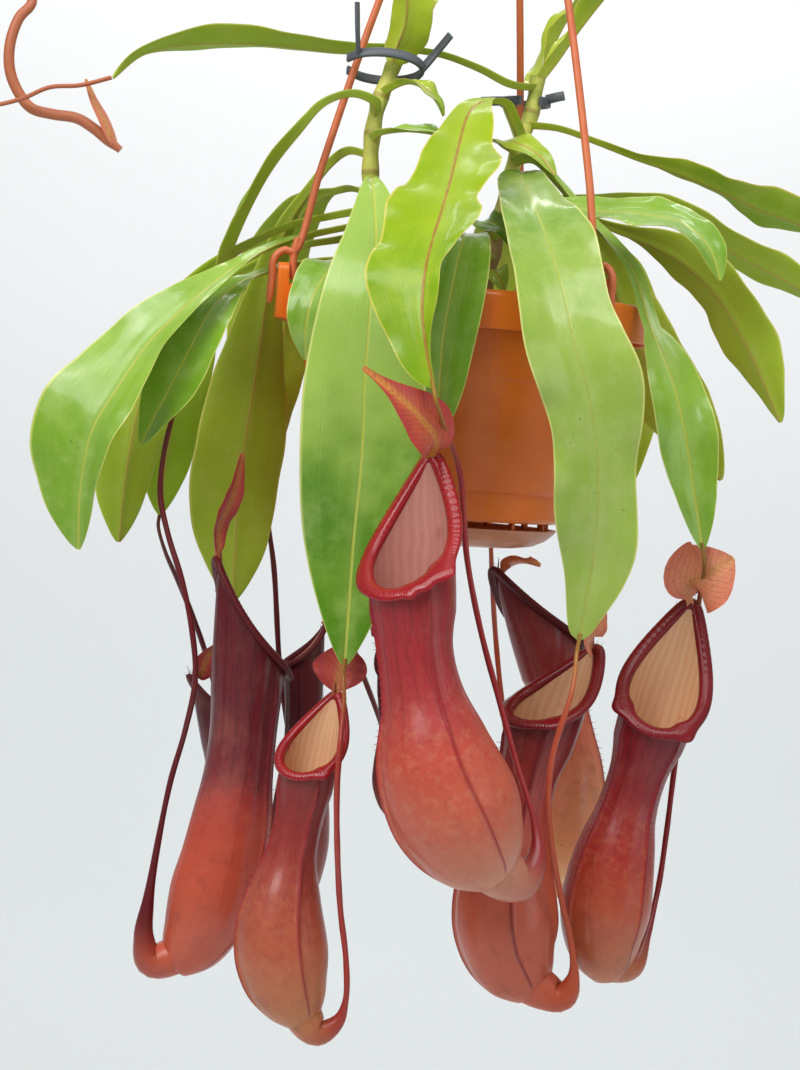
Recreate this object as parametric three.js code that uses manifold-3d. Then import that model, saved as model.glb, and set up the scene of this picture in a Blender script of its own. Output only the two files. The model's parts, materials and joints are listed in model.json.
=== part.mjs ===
// Hanging pitcher plant: a tropical pitcher plant in a plastic pot with a clip-on saucer,
// hung on three stiff wires, its two stems held to the wires by orchid clips.
// Millimetres, +Z up. The origin is the inside top of the hook, where the pot hangs.

import * as THREE from 'three';
import { mergeVertices } from 'three/addons/utils/BufferGeometryUtils.js';
import Module from 'manifold-3d';

const wasm = await Module();
wasm.setup();

// Driving dimensions

const GAP = 0.35;              // between pieces that touch

const RIM_TOP = -323;          // height of the pot's rim, below the hook
const RIM_RADIUS = 85;
const BAND_HEIGHT = 17;        // the skirt that hangs from the rim
const POT_HEIGHT = 101.5;
const POT_WALL = 1.7;
const POT_SIDES = 24;
const SAUCER_RADIUS = 49;
const SAUCER_BOTTOM = 113.7;   // below the rim
const SAUCER_WALL = 1.7;
const FEET = 12;               // ribs under the pot that stand in the saucer
const SOIL_BELOW_RIM = 8;

const WIRE_RADIUS = 1.75;
const LUG_TURN = 191.5;        // degrees, the left lug's place round the rim
const LUG_RISE = 9;            // how far a lug stands above the rim
const LUG_WIDTH = 8;
const LUG_DEPTH = 5;
const HUB_BOTTOM = -48;
const HUB_RADIUS = 9;
const HOOK_RADIUS = 9;         // inside the hook
const HOOK_WIRE = 2.2;

const LEAF_EDGE = 0.8;         // thickness of a blade at its edge
const STALK = 5.5;             // width of a leaf stalk
const LEAF_TIP = 1.8;
const TENDRIL_RADIUS = 1.3;
const PITCHER_WALL = 1.4;

// Small tools

const vec = (x, y, z) => new THREE.Vector3(x, y, z);
const UP = vec(0, 0, 1);
const turn = (degrees) => THREE.MathUtils.degToRad(degrees);
const polar = (radius, degrees, z) =>
  vec(radius * Math.cos(turn(degrees)), radius * Math.sin(turn(degrees)), z);
const smooth = (from, to, t) => THREE.MathUtils.smoothstep(t, from, to);

function curve(route) {
  const points = route.map((point) => (Array.isArray(point) ? vec(...point) : point));
  return new THREE.CatmullRomCurve3(points, false, 'centripetal');
}

// A closed body from its corner points and triangles, with its faces turned outward.
function closed(points, faces) {
  let volume = 0;
  for (const [a, b, c] of faces) {
    volume += points[a].dot(points[b].clone().cross(points[c]));
  }
  const outward = volume > 0 ? faces : faces.map(([a, b, c]) => [a, c, b]);
  const geometry = new THREE.BufferGeometry().setFromPoints(points);
  geometry.setIndex(outward.flat());
  return geometry;
}

// A closed skin through rings of points, drawn to a point at each end. Sides for which
// crossed is true are split along the other diagonal.
function loft(rings, first, last, crossed = () => false) {
  const size = rings[0].length;
  const points = [first, ...rings.flat(), last];
  const at = (ring, side) => 1 + ring * size + (side % size);
  const faces = [];
  for (let side = 0; side < size; side++) {
    faces.push([0, at(0, side + 1), at(0, side)]);
    faces.push([points.length - 1, at(rings.length - 1, side), at(rings.length - 1, side + 1)]);
    for (let ring = 0; ring + 1 < rings.length; ring++) {
      const [a, b] = [at(ring, side), at(ring, side + 1)];
      const [d, c] = [at(ring + 1, side), at(ring + 1, side + 1)];
      if (crossed(side)) {
        faces.push([a, b, d], [b, c, d]);
      } else {
        faces.push([a, b, c], [a, c, d]);
      }
    }
  }
  return closed(points, faces);
}

const middle = (ring) => ring.reduce((sum, point) => sum.add(point), vec(0, 0, 0)).divideScalar(ring.length);

// A round rod along a curve. radius is a number or a function of the place along it. With
// byPoint, every stretch between two route points gets the same number of steps.
function rod(path, radius, steps, sides = 8, byPoint = false) {
  const radiusAt = typeof radius === 'function' ? radius : () => radius;
  const rings = [];
  let out = null;
  for (let step = 0; step <= steps; step++) {
    const t = step / steps;
    const centre = byPoint ? path.getPoint(t) : path.getPointAt(t);
    const along = byPoint ? path.getTangent(t) : path.getTangentAt(t);
    const before = out ?? (Math.abs(along.z) > 0.8 ? vec(1, 0, 0) : UP);
    out = before.clone().addScaledVector(along, -before.dot(along)).normalize();
    const across = along.clone().cross(out);
    rings.push(Array.from({ length: sides }, (_, side) => {
      const angle = (2 * Math.PI * side) / sides;
      return centre.clone().addScaledVector(out, Math.cos(angle) * radiusAt(t))
        .addScaledVector(across, Math.sin(angle) * radiusAt(t));
    }));
  }
  return loft(rings, middle(rings[0]), middle(rings[steps]));
}

function toSolid(geometry) {
  const plain = geometry.clone();
  plain.deleteAttribute('normal');
  plain.deleteAttribute('uv');
  const merged = plain.index ? mergeVertices(plain, 1e-4) : mergeVertices(plain);
  return new wasm.Manifold(new wasm.Mesh({
    numProp: 3,
    vertProperties: new Float32Array(merged.attributes.position.array),
    triVerts: new Uint32Array(merged.index.array),
  }));
}

function toGeometry(solid) {
  const mesh = solid.getMesh();
  const geometry = new THREE.BufferGeometry();
  geometry.setAttribute('position', new THREE.BufferAttribute(mesh.vertProperties, 3));
  geometry.setIndex(new THREE.BufferAttribute(mesh.triVerts, 1));
  return geometry;
}

const joined = (...geometries) => geometries.map(toSolid).reduce((sum, next) => sum.add(next));

// The biggest body of a solid, without the scraps that a cut can leave.
function biggest(solid) {
  const bodies = solid.decompose();
  return bodies.reduce((best, next) => (next.volume() > best.volume() ? next : best));
}

const plant = new THREE.Group();

function add(name, geometry, colour, roughness, metalness = 0) {
  const material = new THREE.MeshStandardMaterial({ color: colour, roughness, metalness });
  const mesh = new THREE.Mesh(geometry, material);
  mesh.name = name;
  plant.add(mesh);
}

// Colours

const TERRACOTTA = 0xb0653a;
const SAUCER_COLOUR = 0xc98c6c;
const WIRE_COLOUR = 0xd87850;
const CLIP_COLOUR = 0x35383b;
const SOIL_COLOUR = 0x3a2f22;
const STEM_COLOUR = 0xb4b94a;
const LEAF_COLOUR = 0x7fae2e;
const YOUNG_LEAF_COLOUR = 0xa6cf3a;
const OLIVE_LEAF_COLOUR = 0x8a9a2c;
const PITCHER_COLOUR = 0xb5473d;
const DARK_PITCHER_COLOUR = 0x7e2d35;

// Pot: a tapered bowl with a hollow skirt below its rim, a stacking step, a seam above the
// foot, drain holes, twelve ribs to stand on and a lug for each wire.

function latheBody(profile, sides) {
  const points = profile.map(([r, z]) => new THREE.Vector2(r, z));
  return new THREE.LatheGeometry(points, sides).rotateX(Math.PI / 2);
}

const BODY_TOP_RADIUS = 78;
const STEP_RADIUS = 73;
const STEP_DEPTH = 38.5;
const SEAM_RADIUS = 54.5;
const SEAM_DEPTH = 88;
const FOOT_RADIUS = 51.5;
const LUGS = [LUG_TURN, LUG_TURN + 120, LUG_TURN + 240];

function potWall() {
  const inner = (radius) => radius - POT_WALL;
  return latheBody([
    [0, -POT_HEIGHT],
    [FOOT_RADIUS - 2, -POT_HEIGHT],
    [FOOT_RADIUS, -POT_HEIGHT + 1.5],
    [SEAM_RADIUS - 1.6, -SEAM_DEPTH],
    [SEAM_RADIUS, -SEAM_DEPTH],
    [(SEAM_RADIUS + STEP_RADIUS) / 2 + 1.5, -(SEAM_DEPTH + STEP_DEPTH) / 2],
    [STEP_RADIUS - 0.9, -STEP_DEPTH],
    [STEP_RADIUS, -STEP_DEPTH + 0.8],
    [BODY_TOP_RADIUS - 0.6, -BAND_HEIGHT],
    [BODY_TOP_RADIUS, -3.4],
    [RIM_RADIUS - POT_WALL, -3.4],
    [RIM_RADIUS - POT_WALL, -BAND_HEIGHT],
    [RIM_RADIUS, -BAND_HEIGHT],
    [RIM_RADIUS, -2],
    [RIM_RADIUS - 2, 0],
    [BODY_TOP_RADIUS + 1.4, 0],
    [inner(BODY_TOP_RADIUS), -2],
    [inner(STEP_RADIUS), -STEP_DEPTH],
    [inner((SEAM_RADIUS + STEP_RADIUS) / 2 + 1.5), -(SEAM_DEPTH + STEP_DEPTH) / 2],
    [inner(SEAM_RADIUS - 1.6), -SEAM_DEPTH],
    [inner(FOOT_RADIUS) - 1, -POT_HEIGHT + POT_WALL],
    [0, -POT_HEIGHT + POT_WALL],
  ], POT_SIDES);
}

// A lug is an upright tab with a round top, standing on the outside of the rim.
function lug(degrees) {
  const shape = new THREE.Shape();
  const half = LUG_WIDTH / 2;
  shape.moveTo(-half, -BAND_HEIGHT);
  shape.lineTo(half, -BAND_HEIGHT);
  shape.lineTo(half, LUG_RISE - half);
  shape.absarc(0, LUG_RISE - half, half, 0, Math.PI);
  const tab = new THREE.ExtrudeGeometry(shape, { depth: LUG_DEPTH, bevelEnabled: false, curveSegments: 5 });
  tab.rotateX(Math.PI / 2);
  tab.rotateZ(Math.PI / 2);
  tab.translate(RIM_RADIUS - 0.5, 0, 0);
  return tab.rotateZ(turn(degrees));
}

const DRAIN_HOLES = 6;
const DRAIN_RADIUS = 4;
const FOOT_RIB = { inner: 42.5, outer: 45.5, wide: 1.8, bottom: -106.1 };

function pot() {
  let body = toSolid(potWall());
  for (const degrees of LUGS) {
    body = body.add(toSolid(lug(degrees)));
  }
  for (let hole = 0; hole < DRAIN_HOLES; hole++) {
    const drill = new THREE.CylinderGeometry(DRAIN_RADIUS, DRAIN_RADIUS, 8, 8).rotateX(Math.PI / 2);
    const place = polar(26, (hole * 360) / DRAIN_HOLES, -POT_HEIGHT);
    body = body.subtract(toSolid(drill.translate(place.x, place.y, place.z)));
  }
  for (let foot = 0; foot < FEET; foot++) {
    const tall = -POT_HEIGHT + 0.5 - FOOT_RIB.bottom;
    const rib = new THREE.BoxGeometry(FOOT_RIB.outer - FOOT_RIB.inner, FOOT_RIB.wide, tall);
    rib.translate((FOOT_RIB.inner + FOOT_RIB.outer) / 2, 0, FOOT_RIB.bottom + tall / 2);
    body = body.add(toSolid(rib.rotateZ(turn((foot * 360) / FEET + 7))));
  }
  return toGeometry(body).translate(0, 0, RIM_TOP);
}

add('pot', pot(), TERRACOTTA, 0.45);

function saucer() {
  const bottom = -SAUCER_BOTTOM;
  return latheBody([
    [0, bottom],
    [31, bottom],
    [38, bottom + 1.1],
    [43.5, bottom + 3.6],
    [47.5, bottom + 7],
    [SAUCER_RADIUS, bottom + 9.1],
    [SAUCER_RADIUS - SAUCER_WALL, bottom + 9.1],
    [46, bottom + 7.3],
    [42, bottom + 4.8],
    [37, bottom + 2.7],
    [31, bottom + SAUCER_WALL],
    [0, bottom + SAUCER_WALL],
  ], 22).translate(0, 0, RIM_TOP);
}

add('saucer', saucer(), SAUCER_COLOUR, 0.4);

// Stems: two leaning canes that come up out of the soil, with a ring at each leaf scar.

const LEFT_STEM = curve([[-26, -6, -352], [-36, -10, -323], [-45, -15, -294], [-49, -19, -267],
  [-48, -18, -243], [-42, -13, -221]]);
const RIGHT_STEM = curve([[3, 14, -352], [7, 18, -320], [11, 22, -296], [15, 27, -272], [19, 31, -250],
  [24, 34, -233], [26, 36, -215]]);
const STEM_RADIUS = 3.9;
const stemRadius = (t) => STEM_RADIUS * (1.08 - 0.16 * t + 0.07 * Math.cos(t * 50));

function stem(path, extra = 0) {
  return rod(path, (t) => stemRadius(t) + extra, 12, 8);
}

add('stem_left', stem(LEFT_STEM), STEM_COLOUR, 0.5);
add('stem_right', stem(RIGHT_STEM), STEM_COLOUR, 0.5);

const ROOM_LEFT = toSolid(stem(LEFT_STEM, GAP));
const ROOM_RIGHT = toSolid(stem(RIGHT_STEM, GAP));

// The point of a stem's middle line at a height
function onStem(path, height) {
  const steps = 200;
  let best = path.getPoint(0);
  for (let step = 0; step <= steps; step++) {
    const point = path.getPoint(step / steps);
    if (Math.abs(point.z - height) < Math.abs(best.z - height)) {
      best = point;
    }
  }
  return best;
}

// Soil: fills the pot to just below the rim, with a lumpy top and a hole for each stem.

function soil() {
  const side = (radius) => radius - POT_WALL - GAP - 0.15;
  const sides = POT_SIDES / 2;
  const rings = [];
  const outline = [
    [side(FOOT_RADIUS) - 1, -POT_HEIGHT + POT_WALL + GAP],
    [side(SEAM_RADIUS - 1.6), -SEAM_DEPTH],
    [side((SEAM_RADIUS + STEP_RADIUS) / 2 + 1.5) - 0.4, -(SEAM_DEPTH + STEP_DEPTH) / 2],
    [side(STEP_RADIUS) - 0.9, -STEP_DEPTH],
    [side(BODY_TOP_RADIUS) - 2.2, -SOIL_BELOW_RIM - 2],
  ];
  for (const [radius, z] of outline) {
    rings.push(Array.from({ length: sides }, (_, k) => polar(radius, (k * 360) / sides, z)));
  }
  for (const radius of [60, 44, 28, 12]) {
    const lump = (angle) => 1.6 * Math.sin(angle * 3 + radius) + 1.1 * Math.cos(angle * 5 - radius * 0.7);
    rings.push(Array.from({ length: sides }, (_, k) => {
      const degrees = (k * 360) / sides;
      return polar(radius, degrees, -SOIL_BELOW_RIM + (60 - radius) * 0.05 + lump(turn(degrees)));
    }));
  }
  const body = loft(rings, vec(0, 0, outline[0][1]), vec(0, 0, -SOIL_BELOW_RIM + 3));
  return toGeometry(toSolid(body.translate(0, 0, RIM_TOP)).subtract(ROOM_LEFT).subtract(ROOM_RIGHT));
}

add('soil', soil(), SOIL_COLOUR, 0.95);

// Hanger: a hook on a small hub, and three stiff wires that end in a hook over each lug.

function hook() {
  const round = HOOK_RADIUS + HOOK_WIRE;
  const route = [vec(0, 0, HUB_BOTTOM + 6), vec(0, 0, -36), vec(-2.5, 0, -26)];
  for (let degrees = 215; degrees >= -30; degrees -= 35) {
    route.push(vec(round * Math.cos(turn(degrees)), 0, round * Math.sin(turn(degrees)) - HOOK_RADIUS));
  }
  const hub = latheBody([
    [0, HUB_BOTTOM], [HUB_RADIUS, HUB_BOTTOM], [HUB_RADIUS, HUB_BOTTOM + 3], [4, HUB_BOTTOM + 9],
    [0, HUB_BOTTOM + 9],
  ], 14);
  return toGeometry(joined(rod(curve(route), HOOK_WIRE, 18, 7), hub));
}

add('hook', hook(), WIRE_COLOUR, 0.45);

// A wire leaves the hub, bows out a little on its way down, and straddles its lug.
function wire(degrees) {
  const inside = RIM_RADIUS - 0.5 - GAP - WIRE_RADIUS;
  const outside = RIM_RADIUS - 0.5 + LUG_DEPTH + GAP + WIRE_RADIUS;
  const saddle = RIM_TOP + LUG_RISE + GAP + WIRE_RADIUS;
  const top = polar(5, degrees, HUB_BOTTOM - GAP - 0.6);
  const bottom = polar(inside, degrees, saddle + 3);
  const along = (t, bow) => top.clone().lerp(bottom, t).add(polar(bow, degrees, 0));
  const long = curve([
    top,
    along(0.3, 3),
    along(0.6, 4),
    along(0.85, 2),
    bottom,
    polar((inside + outside) / 2, degrees, saddle + 3.4),
    polar(outside, degrees, saddle - 1),
    polar(outside + 0.3, degrees, saddle - 10),
    polar(outside + 0.8, degrees, saddle - 21),
  ]);
  const stub = curve([along(0.975, 0.5), bottom, polar(inside, degrees, RIM_TOP + GAP + 1)]);
  return toGeometry(joined(rod(long, WIRE_RADIUS, 20, 6, true), rod(stub, WIRE_RADIUS, 2, 6)));
}

['wire_left', 'wire_right', 'wire_back'].forEach((name, index) => {
  add(name, wire(LUGS[index]), WIRE_COLOUR, 0.45);
});

// Clips: a springy ring round the wire and the stem, with two finger grips.

const CLIP_BAND = { wide: 4.4, thick: 1.8 };

function band(points, facing) {
  const path = curve(points);
  const steps = Math.round(points.length * 1.5);
  const rings = [];
  for (let step = 0; step <= steps; step++) {
    const t = step / steps;
    const along = path.getTangentAt(t);
    const across = facing.clone().addScaledVector(along, -facing.dot(along)).normalize();
    const out = along.clone().cross(across);
    const corner = (a, b) => path.getPointAt(t).addScaledVector(across, a * CLIP_BAND.wide / 2)
      .addScaledVector(out, b * CLIP_BAND.thick / 2);
    rings.push([corner(-1, -1), corner(1, -1), corner(1, 1), corner(-1, 1)]);
  }
  return loft(rings, middle(rings[0]), middle(rings[steps]));
}

// The ring lies round centre, long along one arm and short along the other, open by a slot.
function clip(centre, long, short, grips) {
  const facing = long.clone().cross(short).normalize();
  const ring = [];
  for (let degrees = 25; degrees <= 335; degrees += 31) {
    ring.push(centre.clone().addScaledVector(long, Math.cos(turn(degrees)))
      .addScaledVector(short, Math.sin(turn(degrees))));
  }
  const jaws = grips.map((grip) => band(grip.map((p) => vec(...p)), facing));
  return toGeometry(joined(band(ring, facing), ...jaws));
}

add('clip_left', clip(vec(-46.5, -14, -222), vec(-18, 0, 0), vec(0, -10, 5), [
  [[-58, -21.7, -218], [-59, -26, -208], [-60, -27, -196]],
  [[-29, -13, -222], [-23, -14, -214], [-17, -17, -206]],
]), CLIP_COLOUR, 0.55);
add('clip_right', clip(vec(21.4, 46, -226), vec(2, -18, -1), vec(11, 1, 0.4), [
  [[14, 36, -227], [7, 32, -228], [0, 30, -229]],
  [[31, 37, -225], [35, 34, -224], [39, 33, -223]],
]), CLIP_COLOUR, 0.55);

// Leaves. Each is one waved blade on a narrow stalk, with a ridge below its midrib. The
// route runs from the stem to the tip. facing is where the glossy side looks, at the stalk
// and at the tip. wide is the blade's full width, fullest is where on the blade it is, and
// halves makes the blade broader on one side of its midrib than on the other. strap is low for
// a blade with long even edges, and ruffle is how far each edge winds in and out, more so towards the tip.
// drift makes one half of the blade narrower or broader from the stalk towards the tip.

const COLUMNS = { plain: [-1, 0, 1], fine: [-1, -0.55, 0, 0.55, 1] };

function blade(path, shape) {
  const { wide, stalk, bare, fullest, strap, facing, keel, halves, drift } = shape;
  const { wave, waves, phase, ruffle, steps, columns, tip } = shape;
  const power = Math.log(0.5) / Math.log(fullest);
  const [near, far] = facing.map((direction) => vec(...direction));
  const rings = [];
  for (let step = 0; step <= steps; step++) {
    const t = step / steps;
    const along = path.getTangentAt(t);
    const look = near.clone().lerp(far, smooth(0.1, 0.7, t));
    const normal = look.addScaledVector(along, -look.dot(along)).normalize();
    const across = along.clone().cross(normal);
    const onBlade = Math.max(0, (t - bare) / (1 - bare));
    const swell = Math.sin(Math.PI * onBlade ** power) ** strap;
    const strip = THREE.MathUtils.lerp(stalk, tip, onBlade);
    const half = (strip + wide * Math.max(0, swell)) / 2;
    const rib = THREE.MathUtils.lerp(2.6, 1.1, Math.min(1, t * 1.6));
    const place = (side, depth) => {
      const ripple = Math.sin(2 * Math.PI * waves * onBlade + phase + (side > 0 ? 1.9 : 0));
      const edge = side > 0 ? 1 : 0;
      const share = halves[edge] + drift[edge] * (onBlade - 0.5);
      const spread = share * (1 + 2 * ruffle[edge] * onBlade * ripple);
      const reach = side * (half + (spread - 1) * (half - strip / 2));
      const lift = keel * Math.abs(side) * half + wave * swell * Math.abs(side) ** 1.6 * ripple;
      return path.getPointAt(t).addScaledVector(across, reach).addScaledVector(normal, lift - depth);
    };
    const upper = columns.map((side) => place(side, 0));
    const lower = columns.map((side) => place(side, side === 0 ? rib : LEAF_EDGE)).reverse();
    rings.push([...upper, ...lower]);
  }
  const count = columns.length;
  return loft(rings, middle(rings[0]), middle(rings[steps]), (side) => side >= count && side < 2 * count - 1);
}

const SHAPE = {
  wide: 40, stalk: STALK, bare: 0.3, fullest: 0.5, strap: 0.8, facing: [[0, 0, 1], [0, -1, 0.2]], keel: 0.16,
  wave: 2.2, waves: 2.5, phase: 0, ruffle: [0, 0], steps: 9, columns: COLUMNS.plain, tip: LEAF_TIP,
  halves: [1, 1], drift: [0, 0],
};
const BIG = { columns: COLUMNS.fine, steps: 10 };
const STEMS = { left: [LEFT_STEM, ROOM_LEFT], right: [RIGHT_STEM, ROOM_RIGHT] };

const leaves = {};

function leaf(name, stemName, height, route, shape, colour = LEAF_COLOUR) {
  const [path, room] = STEMS[stemName];
  const line = curve([onStem(path, height), ...route]);
  const solid = toSolid(blade(line, { ...SHAPE, ...shape })).subtract(room);
  leaves[name] = line;
  add(name, toGeometry(biggest(solid)), colour, 0.35);
}

const FORWARD = [0, -1, 0.25];
const BACKWARD = [0, 1, 0.2];

leaf('leaf_a', 'right', -246, [[15, 10, -239], [9, -4, -232], [0, -12, -234], [-6, -24, -241],
  [-10, -46, -259], [-13, -72, -278], [-16, -92, -293], [-19, -108, -307], [-21, -120, -321],
  [-21, -127, -336], [-18, -131, -353], [-14, -133, -368]],
  { ...BIG, wide: 33, stalk: 7.5, bare: 0.2, fullest: 0.6, strap: 0.7, halves: [0.95, 1.22],
  drift: [-2, 0.9], facing: [[0.2, 0.1, 1], [-0.25, -1, 0.35]], wave: 2.6, waves: 4, phase: 5.72,
  ruffle: [0.28, 0.05], steps: 12 }, YOUNG_LEAF_COLOUR);

leaf('leaf_b', 'right', -263, [[21, 2, -263], [20, -26, -269], [24, -52, -281], [31, -78, -300],
  [38, -98, -322], [45, -107, -347], [52, -106, -367], [57, -102, -388], [60, -96, -413], [60, -90, -438],
  [57, -86, -471]],
  { ...BIG, wide: 39, bare: 0.1, fullest: 0.56, strap: 0.5, facing: [[0, -0.3, 1], [0.1, -1, 0.15]],
  wave: 3, waves: 3.5, phase: 1.2, ruffle: [0.1, 0.08], steps: 10 });

leaf('leaf_c', 'left', -272, [[-47, -44, -277], [-43, -76, -305], [-43, -94, -332], [-43, -98, -366],
  [-42, -96, -400], [-43, -92, -434], [-43, -90, -464], [-43, -90, -489]],
  { ...BIG, wide: 50, bare: 0.08, fullest: 0.58, facing: [[0, -0.3, 1], [0, -1, 0.1]], keel: 0.1, wave: 2,
  waves: 2.5, phase: 2 });

leaf('leaf_left_top', 'right', -219, [[12, 22, -220], [-2, 16, -215], [-21, 14, -210], [-40, 16, -209],
  [-62, 20, -211], [-87, 18, -211], [-114, 12, -212], [-141, 4, -216], [-158, -4, -223],
  [-170, -8, -235]],
  { wide: 21, bare: 0.3, fullest: 0.6, facing: [[0, 0, 1], [-0.1, 0.3, 1]], wave: 1.2, waves: 2,
  keel: 0.2, steps: 13 });

leaf('leaf_left_arch', 'left', -245, [[-50, -30, -239], [-59, -34, -237], [-71, -36, -242],
  [-82, -30, -255], [-94, -24, -272], [-104, -18, -293], [-112, -14, -317], [-118, -12, -339],
  [-123, -14, -357], [-126, -18, -373]],
  { wide: 18, bare: 0.25, fullest: 0.55, facing: [[0, 0, 1], [-1, -0.1, 0.3]], wave: 1, keel: 0.35,
  steps: 12 });

leaf('leaf_left_big', 'left', -292, [[-64, -8, -296], [-81, -1, -301], [-95, -20, -309],
  [-108, -42, -321], [-123, -58, -337], [-138, -66, -355], [-150, -72, -376], [-160, -74, -396],
  [-164, -70, -423], [-164, -64, -449]],
  { ...BIG, wide: 46, bare: 0.22, fullest: 0.72, halves: [0.55, 1.15], facing: [[0, -0.2, 1],
  [-0.5, -1, 0.2]], wave: 2.4, waves: 2.5, phase: 1 });

leaf('leaf_left_olive', 'left', -286, [[-66, -6, -290], [-84, 0, -295], [-105, 2, -307], [-124, 0, -326],
  [-138, -4, -353], [-147, -8, -381], [-151, -12, -414], [-152, -14, -447]],
  { wide: 32, bare: 0.25, fullest: 0.66, facing: [[0, 0, 1], [-0.5, 1, 0.2]] }, OLIVE_LEAF_COLOUR);

leaf('leaf_left_inner', 'left', -297, [[-61, 12, -299], [-84, 36, -304], [-107, 42, -320],
  [-124, 32, -342], [-132, 20, -371], [-135, 12, -404], [-136, 8, -434]],
  { wide: 30, bare: 0.25, fullest: 0.68, facing: [[0, 0, 1], [-0.4, 1, 0.2]], phase: 1 },
  OLIVE_LEAF_COLOUR);

leaf('leaf_left_low', 'left', -309, [[-59, -14, -310], [-76, -5, -312], [-91, -10, -317],
  [-104, -26, -325], [-114, -40, -337], [-121, -52, -355], [-129, -54, -374], [-136, -52, -389],
  [-141, -50, -401]],
  { wide: 26, bare: 0.4, fullest: 0.55, facing: [[0, 0, 1], [-0.4, -1, 0.3]], wave: 1.6 });

leaf('leaf_left_long', 'left', -262, [[-59, -10, -260], [-68, 0, -266], [-77, 8, -278], [-86, 15, -293],
  [-92, 23, -313], [-95, 24, -332], [-96, 20, -352], [-98, 8, -385], [-100, 0, -420], [-99, -8, -452],
  [-98, -12, -471]],
  { ...BIG, wide: 44, bare: 0.15, fullest: 0.7, facing: [[-0.2, 0.4, 1], [-0.5, 1, 0.1]], wave: 2.2,
  phase: 0.6 }, OLIVE_LEAF_COLOUR);

leaf('leaf_left_behind', 'left', -317, [[-50, 6, -315], [-64, 27, -313], [-76, 46, -317], [-85, 60, -331],
  [-88, 58, -353], [-88, 42, -382], [-88, 26, -409]],
  { wide: 28, bare: 0.2, fullest: 0.5, facing: [[0, 0, 1], [-0.5, 1, 0.1]] }, OLIVE_LEAF_COLOUR);

leaf('leaf_left_pale', 'left', -313, [[-52, -36, -313], [-63, -58, -319], [-69, -68, -332],
  [-71, -68, -346], [-70, -64, -359]],
  { wide: 21, bare: 0.25, fullest: 0.45, facing: [[0, 0, 1], [-0.4, -1, 0.3]], wave: 1.4, steps: 10 });

leaf('leaf_front_dark', 'right', -303, [[2, -14, -300], [-2, -44, -297], [-5, -68, -301], [-8, -86, -319],
  [-11, -90, -346], [-11, -88, -372], [-12, -84, -392]],
  { wide: 26, bare: 0.2, fullest: 0.6, facing: [[0, 0, 1], FORWARD] });

leaf('leaf_right_spoon', 'right', -288, [[16, -16, -285], [26, -28, -282], [41, -34, -281],
  [57, -37, -282], [74, -48, -283], [91, -60, -287], [102, -66, -297], [108, -68, -311]],
  { wide: 26, bare: 0.3, fullest: 0.6, facing: [[0, -0.3, 1], [0.5, -0.8, 0.7]], wave: 1.6, keel: 0.1 });

leaf('leaf_right_drooping', 'right', -283, [[31, 14, -278], [49, 12, -280], [68, 4, -287], [90, -6, -296],
  [111, -14, -312], [127, -18, -334], [139, -20, -356], [146, -20, -370]],
  { wide: 30, bare: 0.25, fullest: 0.6, facing: [[0, 0, 1], [0.8, 0.9, 0.6]] }, OLIVE_LEAF_COLOUR);

leaf('leaf_right_top', 'right', -237, [[38, 22, -239], [56, 16, -245], [75, 10, -252], [94, 4, -258],
  [112, -2, -265], [130, -8, -273], [149, -12, -279], [167, -16, -288], [182, -18, -300]],
  { wide: 26, bare: 0.2, fullest: 0.65, facing: [[0, 0, 1], [0.4, 0.5, 1]], wave: 2.2, waves: 3,
  steps: 11 }, YOUNG_LEAF_COLOUR);

leaf('leaf_right_far', 'right', -279, [[22, 50, -271], [42, 56, -269], [66, 58, -268], [91, 58, -272],
  [110, 56, -279], [130, 54, -290], [150, 52, -299], [170, 50, -310], [186, 50, -323]],
  { wide: 24, bare: 0.15, fullest: 0.6, facing: [[0, 0, 1], [0.3, 0.6, 1]] });

leaf('leaf_right_olive', 'right', -270, [[31, 40, -267], [47, 44, -276], [62, 48, -293], [74, 52, -316],
  [87, 54, -340], [104, 52, -365], [119, 48, -384], [129, 46, -399]],
  { wide: 36, bare: 0.2, fullest: 0.6, facing: [[0, 0, 1], [0.4, 1, 0.4]] }, OLIVE_LEAF_COLOUR);

leaf('leaf_right_folded', 'right', -256, [[27, 12, -256], [39, 2, -268], [50, -8, -281], [63, -18, -294],
  [73, -32, -308], [81, -46, -332], [91, -54, -354], [98, -60, -377], [104, -62, -403], [110, -62, -429]],
  { wide: 22, bare: 0.57, fullest: 0.5, stalk: 8, facing: [[0.2, 0, 1], [0.15, -1, 0.2]], keel: 0.25,
  wave: 1.5, steps: 12 });

leaf('leaf_small_arch', 'left', -234, [[-40, -26, -231], [-33, -32, -230], [-25, -34, -234],
  [-20, -33, -239], [-17, -31, -244]],
  { wide: 11, bare: 0.3, wave: 0.8, steps: 9, facing: [[0, 0, 1], [0.5, -0.5, 1]] }, YOUNG_LEAF_COLOUR);

leaf('leaf_small_middle', 'left', -255, [[-44, -34, -253], [-35, -38, -252], [-26, -35, -252],
  [-15, -28, -253], [-5, -16, -255]],
  { wide: 8, bare: 0.3, wave: 0.8, steps: 8, facing: [[0, 0, 1], [0, -0.6, 1]] });

leaf('leaf_small_right', 'right', -251, [[10, 12, -249], [14, -2, -250], [22, -14, -254], [29, -20, -259],
  [35, -22, -266]],
  { wide: 11, bare: 0.15, wave: 0.8, steps: 8, facing: [[0, 0, 1], [-0.2, -0.7, 1]] }, YOUNG_LEAF_COLOUR);

leaf('leaf_soil_pale', 'right', -293, [[4, -22, -289], [11, -36, -292], [16, -43, -298], [20, -44, -305]],
  { wide: 8, bare: 0.2, wave: 0.6, steps: 7 });

leaf('leaf_soil_yellow', 'right', -311, [[10, 6, -309], [12, -5, -311], [16, -14, -319]],
  { wide: 9, bare: 0.15, wave: 0.6, steps: 7 }, YOUNG_LEAF_COLOUR);

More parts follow.
